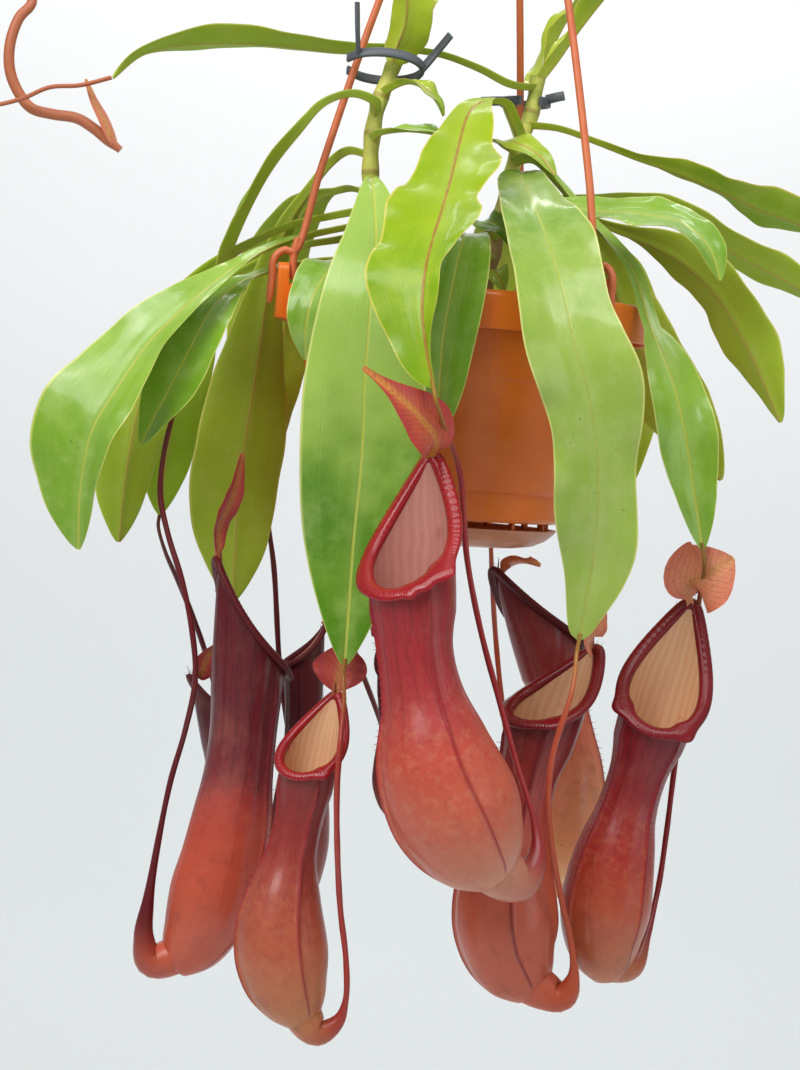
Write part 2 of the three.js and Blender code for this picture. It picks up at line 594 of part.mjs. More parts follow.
leaf('leaf_crown_left', 'left', -224, [[-40, -16, -213], [-37, -24, -203], [-38, -32, -188],
  [-43, -36, -170], [-51, -36, -150]],
  { wide: 17, bare: 0.05, fullest: 0.35, keel: 0.5, facing: [[0.3, 1, 0], [0.5, 1, 0.4]], steps: 11 },
  YOUNG_LEAF_COLOUR);

leaf('leaf_crown_left_back', 'left', -227, [[-39, -5, -218], [-35, 3, -205], [-30, 9, -187],
  [-26, 13, -170], [-18, 13, -155]],
  { wide: 16, bare: 0.1, fullest: 0.4, keel: 0.5, facing: [[-0.5, -1, 0], [-0.5, -1, 0.4]], steps: 9 },
  YOUNG_LEAF_COLOUR);

leaf('leaf_crown_right', 'right', -216, [[33, 36, -206], [43, 38, -190], [57, 37, -171], [73, 34, -155],
  [87, 28, -144]],
  { wide: 14, bare: 0.05, fullest: 0.5, stalk: 7, keel: 0.5, facing: [[-0.6, 0, 1], [-0.5, 0, 1]],
  steps: 10 }, YOUNG_LEAF_COLOUR);

leaf('leaf_crown_right_back', 'right', -222, [[26, 48, -215], [31, 55, -199], [38, 60, -183],
  [49, 63, -166], [55, 63, -147]],
  { wide: 11, bare: 0.05, fullest: 0.5, stalk: 6, keel: 0.5, facing: [[-0.6, 0, 1], [-0.7, 0, 1]],
  steps: 8 }, YOUNG_LEAF_COLOUR);

leaf('leaf_back_left', 'left', -279, [[-60, 16, -275], [-80, 50, -283], [-95, 85, -312],
  [-100, 100, -360], [-100, 104, -410]],
  { wide: 34, bare: 0.2, fullest: 0.55, facing: [[0, 0, 1], [-0.4, 1, 0.2]] });

leaf('leaf_back_middle', 'left', -301, [[-38, 20, -296], [-40, 60, -296], [-48, 98, -308],
  [-54, 116, -345], [-55, 120, -395]],
  { wide: 34, bare: 0.2, fullest: 0.55, facing: [[0, 0, 1], BACKWARD], phase: 1 });

leaf('leaf_back_right', 'right', -291, [[11, 60, -284], [14, 95, -286], [21, 118, -314], [23, 126, -360],
  [21, 124, -408]],
  { wide: 36, bare: 0.2, fullest: 0.55, facing: [[0, 0, 1], BACKWARD], phase: 2 });

leaf('leaf_back_far_right', 'right', -286, [[36, 58, -282], [66, 88, -293], [83, 108, -322],
  [90, 116, -365], [92, 116, -405]],
  { wide: 30, bare: 0.2, fullest: 0.55, facing: [[0, 0, 1], [0.4, 1, 0.2]], phase: 0.5 });

// Pitchers. Each hangs from the tendril that runs on from its leaf's tip. The tendril comes
// down, turns up at the bottom and swells into the bulb. The cup rises through a waist to an
// oblique mouth with a rolled, ribbed lip, and a lid stands on the highest point of the lip.

const CUP_SIDES = 11;
const WINGS = [4, 7];          // the two sides of the cup that carry a wing
const WING_HEIGHT = 1.5;
const LIP = 3.6;
const CAVITY_FLOOR = 0.24;     // where the hollow ends, as a part of the cup's length
const TAIL = 0.42;             // radius of the tendril where it joins, as a part of the bulb's

// Each row is a place along the cup and its radius, given from the bulb, waist and mouth.
function cupProfile(bulb, waist, mouth) {
  return [
    [0.02, bulb * 0.4], [0.09, bulb * 0.72], [0.26, bulb], [0.4, bulb * 0.97],
    [0.53, bulb * 0.6 + waist * 0.4], [0.66, bulb * 0.15 + waist * 0.85], [0.82, waist * 0.9 + mouth * 0.1],
    [1, mouth],
  ];
}

// A ring of points square to the cup's axis. With rise it climbs towards the back of the
// mouth, as a part of the mouth's full rise, and is pinched in as it climbs.
function cupRing(path, t, radius, { back, rise }, { climb = 0, wings = 0, drop = 0 } = {}) {
  const axis = path.getTangentAt(t);
  const rear = vec(...back);
  rear.addScaledVector(axis, -rear.dot(axis)).normalize();
  const side = axis.clone().cross(rear);
  return Array.from({ length: CUP_SIDES }, (_, k) => {
    const angle = (2 * Math.PI * k) / CUP_SIDES;
    const reach = radius + (WINGS.includes(k) ? wings : 0);
    const towardsBack = (1 + Math.cos(angle)) / 2;
    const height = climb * (0.62 * towardsBack + 0.38 * towardsBack ** 4);
    const pinch = 1 - 0.5 * height ** 2;
    return path.getPointAt(t).addScaledVector(rear, reach * Math.cos(angle))
      .addScaledVector(side, reach * Math.sin(angle) * pinch)
      .addScaledVector(axis, rise * height - drop);
  });
}

// The lip at each point of the mouth: out is away from the mouth's middle, square to the
// mouth's edge, and up is out of the mouth.
function lipRing(edge, outwards, upwards) {
  const centre = middle(edge);
  return edge.map((point, k) => {
    const along = edge[(k + 1) % CUP_SIDES].clone().sub(edge[(k + CUP_SIDES - 1) % CUP_SIDES]).normalize();
    const out = point.clone().sub(centre);
    out.addScaledVector(along, -out.dot(along)).normalize();
    const up = out.clone().cross(along);
    return point.clone().addScaledVector(out, outwards).addScaledVector(up, upwards);
  });
}

function cup(path, shape) {
  const { bulb, waist, mouth } = shape;
  const outer = cupProfile(bulb, waist, mouth);
  const ring = (t, radius, options) => cupRing(path, t, radius, shape, options);
  const edge = ring(1, mouth, { climb: 1 });
  const lip = (LIP * mouth) / 16;
  const inside = mouth - PITCHER_WALL;
  const rings = [
    ...outer.map(([t, radius]) => ring(t, radius, { wings: t > 0.1 && t < 0.95 ? WING_HEIGHT : 0 })),
    ring(1, mouth, { climb: 0.5 }),
    ring(1, mouth, { climb: 1, drop: 2.6 }),
    lipRing(edge, lip, -0.8),
    lipRing(edge, lip * 0.5, 1.5),
    lipRing(edge, -1.7, 0.3),
    ring(1, inside, { climb: 1, drop: 3 }),
    ring(1, inside, { climb: 0.5, drop: 1 }),
    ...[...outer].reverse().filter(([t]) => t > CAVITY_FLOOR && t < 1)
      .map(([t, radius]) => ring(t, radius - PITCHER_WALL)),
  ];
  return loft(rings, path.getPointAt(0), path.getPointAt(CAVITY_FLOOR));
}

function lidBlade(route, { wide, facing, fullest = 0.4, strap = 0.8 }) {
  return blade(curve(route), {
    ...SHAPE, wide, stalk: 3.4, bare: 0.12, fullest, strap, facing: [facing, facing], keel: 0.12,
    wave: 0.8, waves: 1.5, steps: 6, tip: 2.4,
  });
}

// The tendril of a pitcher without a leaf here starts at the first point of its route.
function pitcher(name, leafName, tendrilRoute, bodyRoute, shape, lid, colour = PITCHER_COLOUR) {
  const body = curve(bodyRoute);
  const route = [...tendrilRoute];
  if (leafName) {
    const tip = leaves[leafName].getPointAt(1);
    const along = leaves[leafName].getTangentAt(1);
    route.unshift(tip.clone().addScaledVector(along, GAP), tip.clone().addScaledVector(along, 5));
  }
  const tail = shape.bulb * TAIL;
  const thickness = (t) => TENDRIL_RADIUS + (tail - TENDRIL_RADIUS) * smooth(0.7, 1, t) ** 1.5;
  const tendril = rod(curve([...route, body.getPointAt(0.07)]), thickness, 14, 5, true);
  const apex = cupRing(body, 1, shape.mouth - PITCHER_WALL / 2, shape, { climb: 1 })[0];
  const lidPiece = lidBlade([apex, ...lid.route], lid);
  add(name, toGeometry(joined(cup(body, shape), tendril, lidPiece)), colour, 0.4);
}

pitcher('pitcher_front', 'leaf_a', [[-9, -122, -382], [0, -98, -402], [6, -96, -439], [14, -98, -469],
  [24, -100, -498], [34, -104, -526], [42, -110, -547], [44, -115, -561], [38, -121, -571]],
  [[28, -126, -571], [14, -129, -551], [1, -131, -527], [-7, -131, -501], [-13, -131, -477],
  [-16, -130, -452]],
  { bulb: 27, waist: 15, mouth: 19, back: [0.5, 0.87, 0], rise: 54 },
  { route: [[-11, -121, -390], [-18, -130, -381], [-30, -138, -371], [-43, -143, -362]], wide: 24,
  facing: [0.3, -0.9, 0.4], fullest: 0.24, strap: 1.8 });

pitcher('pitcher_right', 'leaf_right_folded', [[113, -38, -453], [113, -26, -490], [110, -20, -528],
  [108, -24, -560], [105, -34, -585], [100, -46, -604], [94, -52, -617]], [[84, -54, -624],
  [80, -55, -603], [81, -55, -579], [85, -55, -553], [90, -55, -530], [95, -55, -509]],
  { bulb: 20, waist: 12.5, mouth: 18, back: [0.1, 0.99, 0], rise: 55 },
  { route: [[107, -44, -446], [115, -56, -439], [124, -60, -432]], wide: 30, facing: [0.1, -1, 0.2],
  fullest: 0.5 });

pitcher('pitcher_leaf_b', 'leaf_b', [[55, -96, -492], [49, -98, -518], [48, -98, -535], [51, -94, -557],
  [58, -88, -584], [64, -84, -604], [66, -80, -619], [62, -76, -628]], [[50, -72, -630], [39, -70, -611],
  [35, -68, -586], [37, -66, -559], [41, -64, -534], [46, -62, -513]],
  { bulb: 22.5, waist: 12.5, mouth: 17, back: [0.72, 0.7, 0], rise: 40 },
  { route: [[64, -58, -473], [67, -60, -465], [69, -62, -457]], wide: 10, facing: [0.8, -0.6, 0.2] });

pitcher('pitcher_middle', 'leaf_back_right', [[23, 108, -442], [25, 82, -466], [28, 52, -492],
  [33, 30, -522], [41, 24, -557], [47, 16, -582], [53, 4, -597], [58, -2, -594]], [[57, -2, -592],
  [61, -2, -564], [61, -2, -530], [56, -2, -507], [49, -2, -486]],
  { bulb: 19, waist: 11.5, mouth: 16, back: [-0.84, -0.5, 0], rise: 44 },
  { route: [[29, -10, -443], [35, -14, -442], [42, -15, -443]], wide: 9, facing: [0.1, -0.3, 1] },
  DARK_PITCHER_COLOUR);

pitcher('pitcher_left', 'leaf_left_arch', [[-128, -42, -385], [-131, -46, -405], [-131, -48, -423],
  [-126, -52, -440], [-118, -56, -460], [-112, -58, -481], [-109, -58, -503], [-112, -56, -526],
  [-117, -54, -549], [-121, -50, -577], [-124, -46, -605], [-125, -44, -622], [-121, -42, -633]],
  [[-111, -41, -636], [-101, -40, -619], [-94, -40, -596], [-90, -40, -572], [-88, -40, -546],
  [-87, -40, -520], [-87, -40, -498]],
  { bulb: 20, waist: 15, mouth: 17, back: [-0.95, -0.3, 0], rise: 46 },
  { route: [[-104, -44, -437], [-99, -44, -422], [-96, -42, -402]], wide: 8, facing: [0.8, -0.6, 0] },
  DARK_PITCHER_COLOUR);

pitcher('pitcher_left_behind', 'leaf_left_inner', [[-133, 12, -450], [-127, 22, -464], [-119, 32, -482],
  [-110, 40, -506], [-100, 42, -540], [-92, 40, -574], [-87, 34, -606], [-84, 28, -626]],
  [[-86, 22, -636], [-88, 20, -606], [-93, 18, -575], [-98, 16, -545], [-101, 16, -531]],
  { bulb: 14, waist: 9.5, mouth: 11, back: [-0.95, -0.3, 0], rise: 24 },
  { route: [[-111, 9, -506], [-109, 8, -499], [-105, 7, -493]], wide: 8, facing: [0.5, -0.8, 0] },
  DARK_PITCHER_COLOUR);

pitcher('pitcher_small', 'leaf_c', [[-42, -98, -503], [-42, -110, -519], [-42, -110, -540],
  [-40, -108, -566], [-37, -102, -592], [-33, -98, -615], [-32, -94, -633], [-35, -92, -643],
  [-43, -92, -648]], [[-49, -92, -645], [-58, -92, -625], [-62, -92, -603], [-60, -92, -576],
  [-57, -92, -555], [-55, -92, -536]],
  { bulb: 19.5, waist: 9.5, mouth: 13, back: [0.42, 0.9, 0], rise: 33 },
  { route: [[-46, -81, -499], [-45, -80, -490], [-45, -80, -481]], wide: 21, facing: [0, -1, 0.2],
  fullest: 0.5 });

pitcher('pitcher_dark', 'leaf_left_behind', [[-86, 12, -430], [-81, 10, -455], [-74, 10, -507],
  [-64, 12, -550], [-56, 14, -585], [-54, 14, -606], [-56, 10, -616]], [[-60, 6, -614], [-60, 0, -588],
  [-60, -6, -558], [-61, -10, -530], [-63, -12, -497]],
  { bulb: 14, waist: 8.5, mouth: 9.5, back: [0.95, 0.1, 0], rise: 18 },
  { route: [[-51, -12, -472], [-49, -13, -464], [-47, -14, -457]], wide: 12, facing: [0, -1, 0] },
  DARK_PITCHER_COLOUR);

pitcher('pitcher_behind_front', 'leaf_back_middle', [[-50, 98, -453], [-47, 78, -472], [-42, 54, -492],
  [-29, 22, -518], [-15, -14, -544], [-5, -46, -560], [-7, -58, -565]], [[-15, -62, -558],
  [-17, -62, -542], [-18, -62, -526], [-20, -62, -510], [-21, -62, -498]],
  { bulb: 10.5, waist: 7, mouth: 8, back: [-0.6, 0.8, 0], rise: 16 },
  { route: [[-27, -57, -478], [-29, -60, -472], [-31, -64, -468]], wide: 8, facing: [-0.4, -0.9, 0.3] });

// A young pitcher on a looping tendril: still shut, flat and pointed.
function youngPitcher() {
  const start = leaves.leaf_left_top.getPointAt(1).addScaledVector(leaves.leaf_left_top.getTangentAt(1), GAP);
  const loop = curve([start, [-184, -10, -240], [-198, -10, -242], [-211, -8, -248], [-228, -5, -252],
    [-245, 0, -249], [-259, 5, -235], [-261, 10, -213], [-250, 12, -195], [-232, 12, -188], [-215, 9, -193],
    [-211, 5, -202], [-216, 2, -210], [-219, 0, -223], [-218, 0, -235], [-213, 0, -245], [-207, 0, -251],
    [-197, 0, -253], [-186, 0, -254], [-178, 0, -258], [-171, 0, -263], [-165, 0, -267]]);
  const thickness = (t) => TENDRIL_RADIUS * 0.8 + 1.5 * smooth(0.25, 0.6, t) - 0.8 * smooth(0.95, 1, t);
  const bud = blade(curve([[-167, 0, -265], [-173, -2, -253], [-178, -3, -245], [-182, -4, -236]]), {
    ...SHAPE, wide: 7, stalk: 3, bare: 0, fullest: 0.35, facing: [[1, -0.6, 0.6], [1, -0.6, 0.6]], keel: -0.2,
    wave: 0, steps: 6, tip: 1.2,
  });
  return toGeometry(joined(rod(loop, thickness, 32, 5), bud));
}

add('pitcher_bud', youngPitcher(), PITCHER_COLOUR, 0.5);

export default plant;
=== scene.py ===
# %% [markdown]
# # A hanging pitcher plant
#
# The object is a tropical pitcher plant in a plastic pot. Two canes lean out of the soil,
# long leaves arch and droop from them, and each leaf's midrib runs on as a tendril that
# ends in a hollow cup with a ribbed lip and a lid. The pot hangs on three stiff wires.
#
# The measured model is loaded first. It fixes every size and place, and the script only
# dresses it: each bare solid is replaced by a finer piece on the same line, in metres.

# %% Load the measured model
import json
import math
import random

import bmesh
import bpy
import numpy as np
from mathutils import Matrix, Vector

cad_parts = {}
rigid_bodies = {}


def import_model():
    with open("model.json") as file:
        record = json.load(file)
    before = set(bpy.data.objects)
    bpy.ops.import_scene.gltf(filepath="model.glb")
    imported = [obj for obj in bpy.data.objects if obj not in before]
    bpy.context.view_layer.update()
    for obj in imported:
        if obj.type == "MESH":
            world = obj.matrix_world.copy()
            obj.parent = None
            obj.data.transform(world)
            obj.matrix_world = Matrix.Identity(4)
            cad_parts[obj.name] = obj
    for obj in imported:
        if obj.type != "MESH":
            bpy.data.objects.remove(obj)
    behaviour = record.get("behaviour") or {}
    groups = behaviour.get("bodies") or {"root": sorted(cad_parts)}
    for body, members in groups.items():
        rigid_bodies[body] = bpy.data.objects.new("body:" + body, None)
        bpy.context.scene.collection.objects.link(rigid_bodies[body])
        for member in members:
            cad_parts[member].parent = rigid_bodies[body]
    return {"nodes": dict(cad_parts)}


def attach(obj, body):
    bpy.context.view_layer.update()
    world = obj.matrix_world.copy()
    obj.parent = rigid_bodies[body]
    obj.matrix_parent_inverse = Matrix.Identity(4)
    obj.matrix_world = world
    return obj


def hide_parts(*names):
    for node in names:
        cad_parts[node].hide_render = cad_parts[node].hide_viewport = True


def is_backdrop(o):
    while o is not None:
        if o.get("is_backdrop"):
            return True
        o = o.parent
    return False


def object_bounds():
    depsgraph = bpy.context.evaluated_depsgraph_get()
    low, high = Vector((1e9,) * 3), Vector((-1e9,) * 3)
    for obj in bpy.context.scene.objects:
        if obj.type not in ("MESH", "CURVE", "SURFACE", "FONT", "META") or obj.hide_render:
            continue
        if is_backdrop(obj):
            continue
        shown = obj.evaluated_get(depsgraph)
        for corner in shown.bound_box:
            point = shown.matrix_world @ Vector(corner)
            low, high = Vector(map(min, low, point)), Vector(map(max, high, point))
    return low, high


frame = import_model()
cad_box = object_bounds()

MM = 0.001


def in_mm(box):
    return [[round(v / MM, 1) for v in corner] for corner in box]


print("nodes", len(frame["nodes"]), "box in mm", in_mm(cad_box))

# %% [markdown]
# ## The camera
#
# The photograph was taken from the front, level with the middle of the plant, with the
# camera tipped a little down and turned a few degrees. A camera is placed by a matrix whose
# columns are its right, its up and its back. A long lens keeps the near pitchers from
# looking too big.

# %% Place the camera
EYE = Vector((-0.0233, -1.2035, -0.3862))
PITCH = math.radians(2.315)
ROLL = math.radians(4.2)
FOCAL_PIXELS = 2597
PHOTO_HEIGHT = 1070
SENSOR_WIDTH = 36


def in_scene(name, data):
    """A new object that carries the data, put in the scene."""
    thing = bpy.data.objects.new(name, data)
    bpy.context.scene.collection.objects.link(thing)
    return thing


forward = Vector((0, math.cos(PITCH), -math.sin(PITCH)))
level_right = Vector((1, 0, 0))
level_up = level_right.cross(forward)
right = level_right * math.cos(ROLL) + level_up * math.sin(ROLL)
up = level_up * math.cos(ROLL) - level_right * math.sin(ROLL)

lens = bpy.data.cameras.new("camera")
lens.sensor_fit = "AUTO"
lens.sensor_width = SENSOR_WIDTH
lens.lens = SENSOR_WIDTH * FOCAL_PIXELS / PHOTO_HEIGHT
lens.clip_end = 20
camera = in_scene("camera", lens)
camera.matrix_world = Matrix.Translation(EYE) @ Matrix((right, up, -forward)).transposed().to_4x4()
bpy.context.scene.camera = camera
print("lens", round(lens.lens, 1), "mm")

# %% [markdown]
# ## Shader maths
#
# A finish is built from nodes. Written out link by link that is long and hard to read, so
# one small class stands for a socket and turns plain sums into Math nodes. A second one
# holds a material and has a single way to add any other node. Colours are written as they
# look on a screen, from 0 to 255, and Mix turns them into the light that they stand for.

# %% Sockets that can be added and multiplied
class Value:
    """A socket. A sum with it adds a Math node."""

    def __init__(self, finish, socket):
        self.finish = finish
        self.socket = socket

    def __add__(self, other):
        return self.finish.math("ADD", self, other)

    def __radd__(self, other):
        return self.finish.math("ADD", other, self)

    def __sub__(self, other):
        return self.finish.math("SUBTRACT", self, other)

    def __rsub__(self, other):
        return self.finish.math("SUBTRACT", other, self)

    def __mul__(self, other):
        return self.finish.math("MULTIPLY", self, other)

    def __rmul__(self, other):
        return self.finish.math("MULTIPLY", other, self)

    def __abs__(self):
        return self.finish.math("ABSOLUTE", self)


# %% Finishes and their nodes
def light_of(shade):
    """The light that a screen colour stands for. A socket is handed back as it is."""
    if isinstance(shade, Value):
        return shade
    parts = [channel / 255 for channel in shade]
    return (*(c / 12.92 if c <= 0.04045 else ((c + 0.055) / 1.055) ** 2.4 for c in parts), 1)


class Finish:
    """A material. Its constants are set on the shader's own sockets."""

    def __init__(self, name, **constants):
        self.material = bpy.data.materials.new(name)
        self.material.use_nodes = True
        self.tree = self.material.node_tree
        self.shader = self.tree.nodes["Principled BSDF"]
        for label, value in constants.items():
            self.shader.inputs[label.replace("_", " ").title().replace("Ior", "IOR")].default_value = value

    def node(self, kind, settings=None, inputs=None, output=0):
        """Any node: its settings come first, and then the values or links of its sockets."""
        node = self.tree.nodes.new(kind)
        for label, value in (settings or {}).items():
            if label == "stops":
                ramp = node.color_ramp.elements
                while len(ramp) < len(value):
                    ramp.new(0.5)
                for stop, (place, shade) in zip(ramp, value):
                    stop.position = place
                    stop.color = shade
            else:
                setattr(node, label, value)
        for label, value in (inputs or {}).items():
            if isinstance(value, Value):
                self.tree.links.new(value.socket, node.inputs[label])
            else:
                node.inputs[label].default_value = value
        return Value(self, node.outputs[output])

    def math(self, operation, *terms):
        return self.node("ShaderNodeMath", {"operation": operation}, dict(enumerate(terms)))

    def read(self, name):
        """A number that the mesh carries at its points."""
        return self.node("ShaderNodeAttribute", {"attribute_name": name}, output="Fac")

    def place(self):
        return self.node("ShaderNodeTexCoord", output="Object")

    def axes(self):
        """The x, y and z of the place, each a number of its own."""
        place = {"Vector": self.place()}
        return (self.node("ShaderNodeSeparateXYZ", None, place, axis) for axis in range(3))

    def spot(self, x, y, z):
        return self.node("ShaderNodeCombineXYZ", None, {"X": x, "Y": y, "Z": z})

    def noise(self, scale, detail=2, rough=0.5, spot=None):
        return self.node("ShaderNodeTexNoise", None, {
            "Vector": spot or self.place(), "Scale": scale, "Detail": detail, "Roughness": rough})

    def smooth(self, value, low, high, top=1.0):
        """0 below low and top above high, with a soft step between."""
        return self.node("ShaderNodeMapRange", {"interpolation_type": "SMOOTHSTEP"},
                         {"Value": value, "From Min": low, "From Max": high, "To Min": 0.0, "To Max": top})

    def patches(self, scale, detail, rough, low, high, top=1.0):
        """Soft-edged patches, wherever a noise is high."""
        return self.smooth(self.noise(scale, detail, rough), low, high, top)

    def swell(self, value):
        """A sine wave between 0 and 1."""
        return self.math("SINE", value) * 0.5 + 0.5

    def off_line(self, value):
        """0 on each of many even lines, and 0.5 halfway between two of them."""
        return abs(self.math("FRACT", value) - 0.5)

    def ramp(self, value, stops):
        stops = [(place, light_of(shade)) for place, shade in stops]
        return self.node("ShaderNodeValToRGB", {"stops": stops}, {"Fac": value})

    def mix(self, factor, first, second):
        return self.node("ShaderNodeMix", {"data_type": "RGBA"},
                         {0: factor, 6: light_of(first), 7: light_of(second)}, output=2)

    def bump(self, height, strength, depth):
        self.feed("Normal", self.node("ShaderNodeBump", None, {
            "Height": height, "Strength": strength, "Distance": depth}))

    def feed(self, label, value):
        self.tree.links.new(value.socket, self.shader.inputs[label])


# %% [markdown]
# ## Lines and skins
#
# Leaves, tendrils, cups, stems and wires all follow a smooth line through a few points.
# Blender has curves, but a finish needs to know how far along and across the leaf it is,
# so each skin is made as a grid of points around the line, with those numbers kept at
# every point. The line is the same centripetal curve that the measured model uses.

# %% A smooth line through points
LINE_SAMPLES = 201
TINY = 1e-4


class Line:
    """A place t counts from point to point, and u is the share of the line's length, both 0 to 1."""

    def __init__(self, points):
        self.points = np.array(points, float)
        self.places = np.linspace(0, 1, LINE_SAMPLES)
        steps = np.linalg.norm(np.diff(self.point(self.places), axis=0), axis=1)
        self.run = np.concatenate([[0], np.cumsum(steps)])
        self.length = self.run[-1]

    def point(self, t):
        t = np.clip(np.atleast_1d(np.asarray(t, float)), 0, 1)
        p = self.points
        padded = np.vstack([2 * p[0] - p[1], p, 2 * p[-1] - p[-2]])
        index = np.minimum(np.floor((len(p) - 1) * t).astype(int), len(p) - 2)
        part = ((len(p) - 1) * t - index)[:, None]
        a, b, c, d = (padded[index + k] for k in range(4))
        pairs = ((a, b), (b, c), (c, d))
        gap0, gap1, gap2 = (np.linalg.norm(q - o, axis=1)[:, None] ** 0.5 for o, q in pairs)
        gap1 = np.where(gap1 < TINY, 1, gap1)
        gap0, gap2 = (np.where(gap < TINY, gap1, gap) for gap in (gap0, gap2))
        leave = ((b - a) / gap0 - (c - a) / (gap0 + gap1) + (c - b) / gap1) * gap1
        arrive = ((c - b) / gap1 - (d - b) / (gap1 + gap2) + (d - c) / gap2) * gap1
        return (b + leave * part + (3 * (c - b) - 2 * leave - arrive) * part ** 2
                + (2 * (b - c) + leave + arrive) * part ** 3)

    def place(self, u):
        return np.interp(np.clip(u, 0, 1), self.run / self.length, self.places)

    def at(self, u):
        return self.point(self.place(u))

    def heading_at(self, u):
        t = np.atleast_1d(np.asarray(self.place(u), float))
        step = self.point(np.minimum(t + TINY, 1)) - self.point(np.maximum(t - TINY, 0))
        return step / np.linalg.norm(step, axis=1)[:, None]


def soft_step(t, low, high):
    x = np.clip((np.asarray(t, float) - low) / (high - low), 0, 1)
    return x * x * (3 - 2 * x)


def unit(vectors):
    return vectors / np.maximum(np.linalg.norm(vectors, axis=-1, keepdims=True), 1e-9)


ruler = Line([(0, 0, 0), (0, 0, 50), (0, 0, 100)])
print("a straight line of 100 mm measures", round(ruler.length, 3))


# %% A piece made of skins
WELD = 0.004
SLIVER = 0.002


class Skin:
    """Grids of points in mm, gathered into one piece, with named numbers at the points."""

    def __init__(self):
        self.points = []
        self.faces = []
        self.slots = []
        self.numbers = {}
        self.count = 0

    def sheet(self, grid, slot=0, around=False, turned=False, **numbers):
        """Faces between the rows of a grid. around closes each row to a ring, and turned flips them."""
        rows, columns = grid.shape[:2]
        wide = columns if around else columns - 1
        for row in range(rows - 1):
            for column in range(wide):
                a = self.count + row * columns + column
                b = self.count + row * columns + (column + 1) % columns
                corners = (a, b, b + columns, a + columns)
                self.faces.append(corners[::-1] if turned else corners)
                self.slots.append(slot)
        for label in sorted({*self.numbers, *numbers}):
            before = self.numbers.get(label, [np.zeros(self.count)])
            here = np.broadcast_to(numbers.get(label, 0.0), (rows, columns)).ravel()
            self.numbers[label] = before + [here.astype(float)]
        self.points.append(grid.reshape(-1, 3))
        self.count += rows * columns

    def tube(self, line, radius, steps, sides, slot=0, **numbers):
        """A round skin along a line, drawn to a point at each end. radius is a function of the place."""
        u = np.linspace(0, 1, steps + 1)
        centres = line.at(u)
        headings = line.heading_at(u)
        out = np.array([1.0, 0, 0]) if abs(headings[0][2]) > 0.8 else np.array([0, 0, 1.0])
        angles = np.linspace(0, 2 * np.pi, sides, endpoint=False)
        rings = []
        for place, centre, heading in zip(u, centres, headings):
            out = unit(out - heading * out.dot(heading))
            across = np.cross(heading, out)
            circle = np.outer(np.cos(angles), out) + np.outer(np.sin(angles), across)
            rings.append(centre + radius(place) * circle)
        ends = [np.repeat(centre[None], sides, 0) for centre in (centres[0], centres[-1])]
        grid = np.array([ends[0], *rings, ends[1]])
        self.sheet(grid, slot, around=True, **{"along": np.array([0, *u, 1])[:, None], **numbers})

    def piece(self, name, finishes, crease=40):
        mesh = bpy.data.meshes.new(name)
        mesh.from_pydata((np.vstack(self.points) * MM).tolist(), [], self.faces)
        for label, parts in self.numbers.items():
            layer = mesh.attributes.new(label, "FLOAT", "POINT")
            layer.data.foreach_set("value", np.concatenate(parts).astype(np.float32))
        mesh.polygons.foreach_set("material_index", self.slots)
        for finish in finishes:
            mesh.materials.append(finish.material)
        tidy_mesh(mesh, crease)
        return in_scene(name, mesh)


def tidy_mesh(mesh, crease):
    """Weld the points that meet, face everything outward, and shade it smooth up to a crease."""
    work = bmesh.new()
    work.from_mesh(mesh)
    bmesh.ops.remove_doubles(work, verts=work.verts, dist=WELD * MM)
    bmesh.ops.dissolve_degenerate(work, edges=work.edges, dist=SLIVER * MM)
    bmesh.ops.recalc_face_normals(work, faces=work.faces)
    work.to_mesh(mesh)
    work.free()
    mesh.shade_smooth()
    mesh.set_sharp_from_angle(angle=math.radians(crease))


# %% Helpers for skins and pieces
def taper(radius, loss):
    """A radius that gets smaller along the line."""
    return lambda u: radius * (1 - loss * u)


def pinched(ring):
    """A ring drawn together to its middle, which closes the end of a skin."""
    return np.repeat(np.mean(ring, axis=0)[None], len(ring), 0)


def stands_for(piece, slot, *nodes):
    """Every piece rides on the one body, and hides the bare solids that it stands for."""
    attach(piece, "root")
    if nodes:
        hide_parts(*nodes)
    return piece


# %% [markdown]
# ## Stage and light
#
# A pale wall and floor in one sweep, lit softly from the upper left, as by a big window. A
# wide light leaves long soft highlights on the glossy leaves, and the pale surroundings
# fill the shadows.

# %% Wall and floor in one sweep
# In metres, with the plant at 0.
WALL = 3.8
WALL_TOP = 3.0
FLOOR = -1.1
FLOOR_FRONT = -6.0
BEND = 1.2
BEND_STEPS = 12
HALF_WIDTH = 4.5


def backdrop():
    profile = [(FLOOR_FRONT, FLOOR)]
    for step in range(BEND_STEPS + 1):
        angle = math.radians(90 * step / BEND_STEPS)
        profile.append((WALL - BEND + BEND * math.sin(angle), FLOOR + BEND - BEND * math.cos(angle)))
    profile.append((WALL, WALL_TOP))
    skin = Skin()
    points = np.array([[(x, y, z) for x in np.linspace(-HALF_WIDTH, HALF_WIDTH, 9)] for y, z in profile])
    skin.sheet(points / MM, rise=points[..., 2])
    return skin


paper = Finish("wall_paper", roughness=0.9)
patch = paper.noise(1.3, 2)
# The paper is painted a little darker towards the floor: a painted shade where less of the light reaches
# the low part of the sweep.
high = paper.smooth(paper.read("rise") + (patch - 0.5) * 0.3, -1.0, 0.4)
paper.feed("Base Color", paper.mix(high, (221, 225, 226), (250, 250, 250)))
sweep = backdrop().piece("backdrop", [paper])
sweep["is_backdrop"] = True
print("backdrop faces", len(sweep.data.polygons))


# %% Lights
def lamp(name, place, target, size, power, tint):
    """A soft rectangle of light, in metres and watts, that faces its target."""
    data = bpy.data.lights.new(name, "AREA")
    data.shape = "RECTANGLE"
    data.size, data.size_y = size
    data.energy = power
    data.color = tint
    light = in_scene(name, data)
    light.location = place
    light.rotation_euler = (Vector(target) - Vector(place)).to_track_quat("-Z", "Y").to_euler()


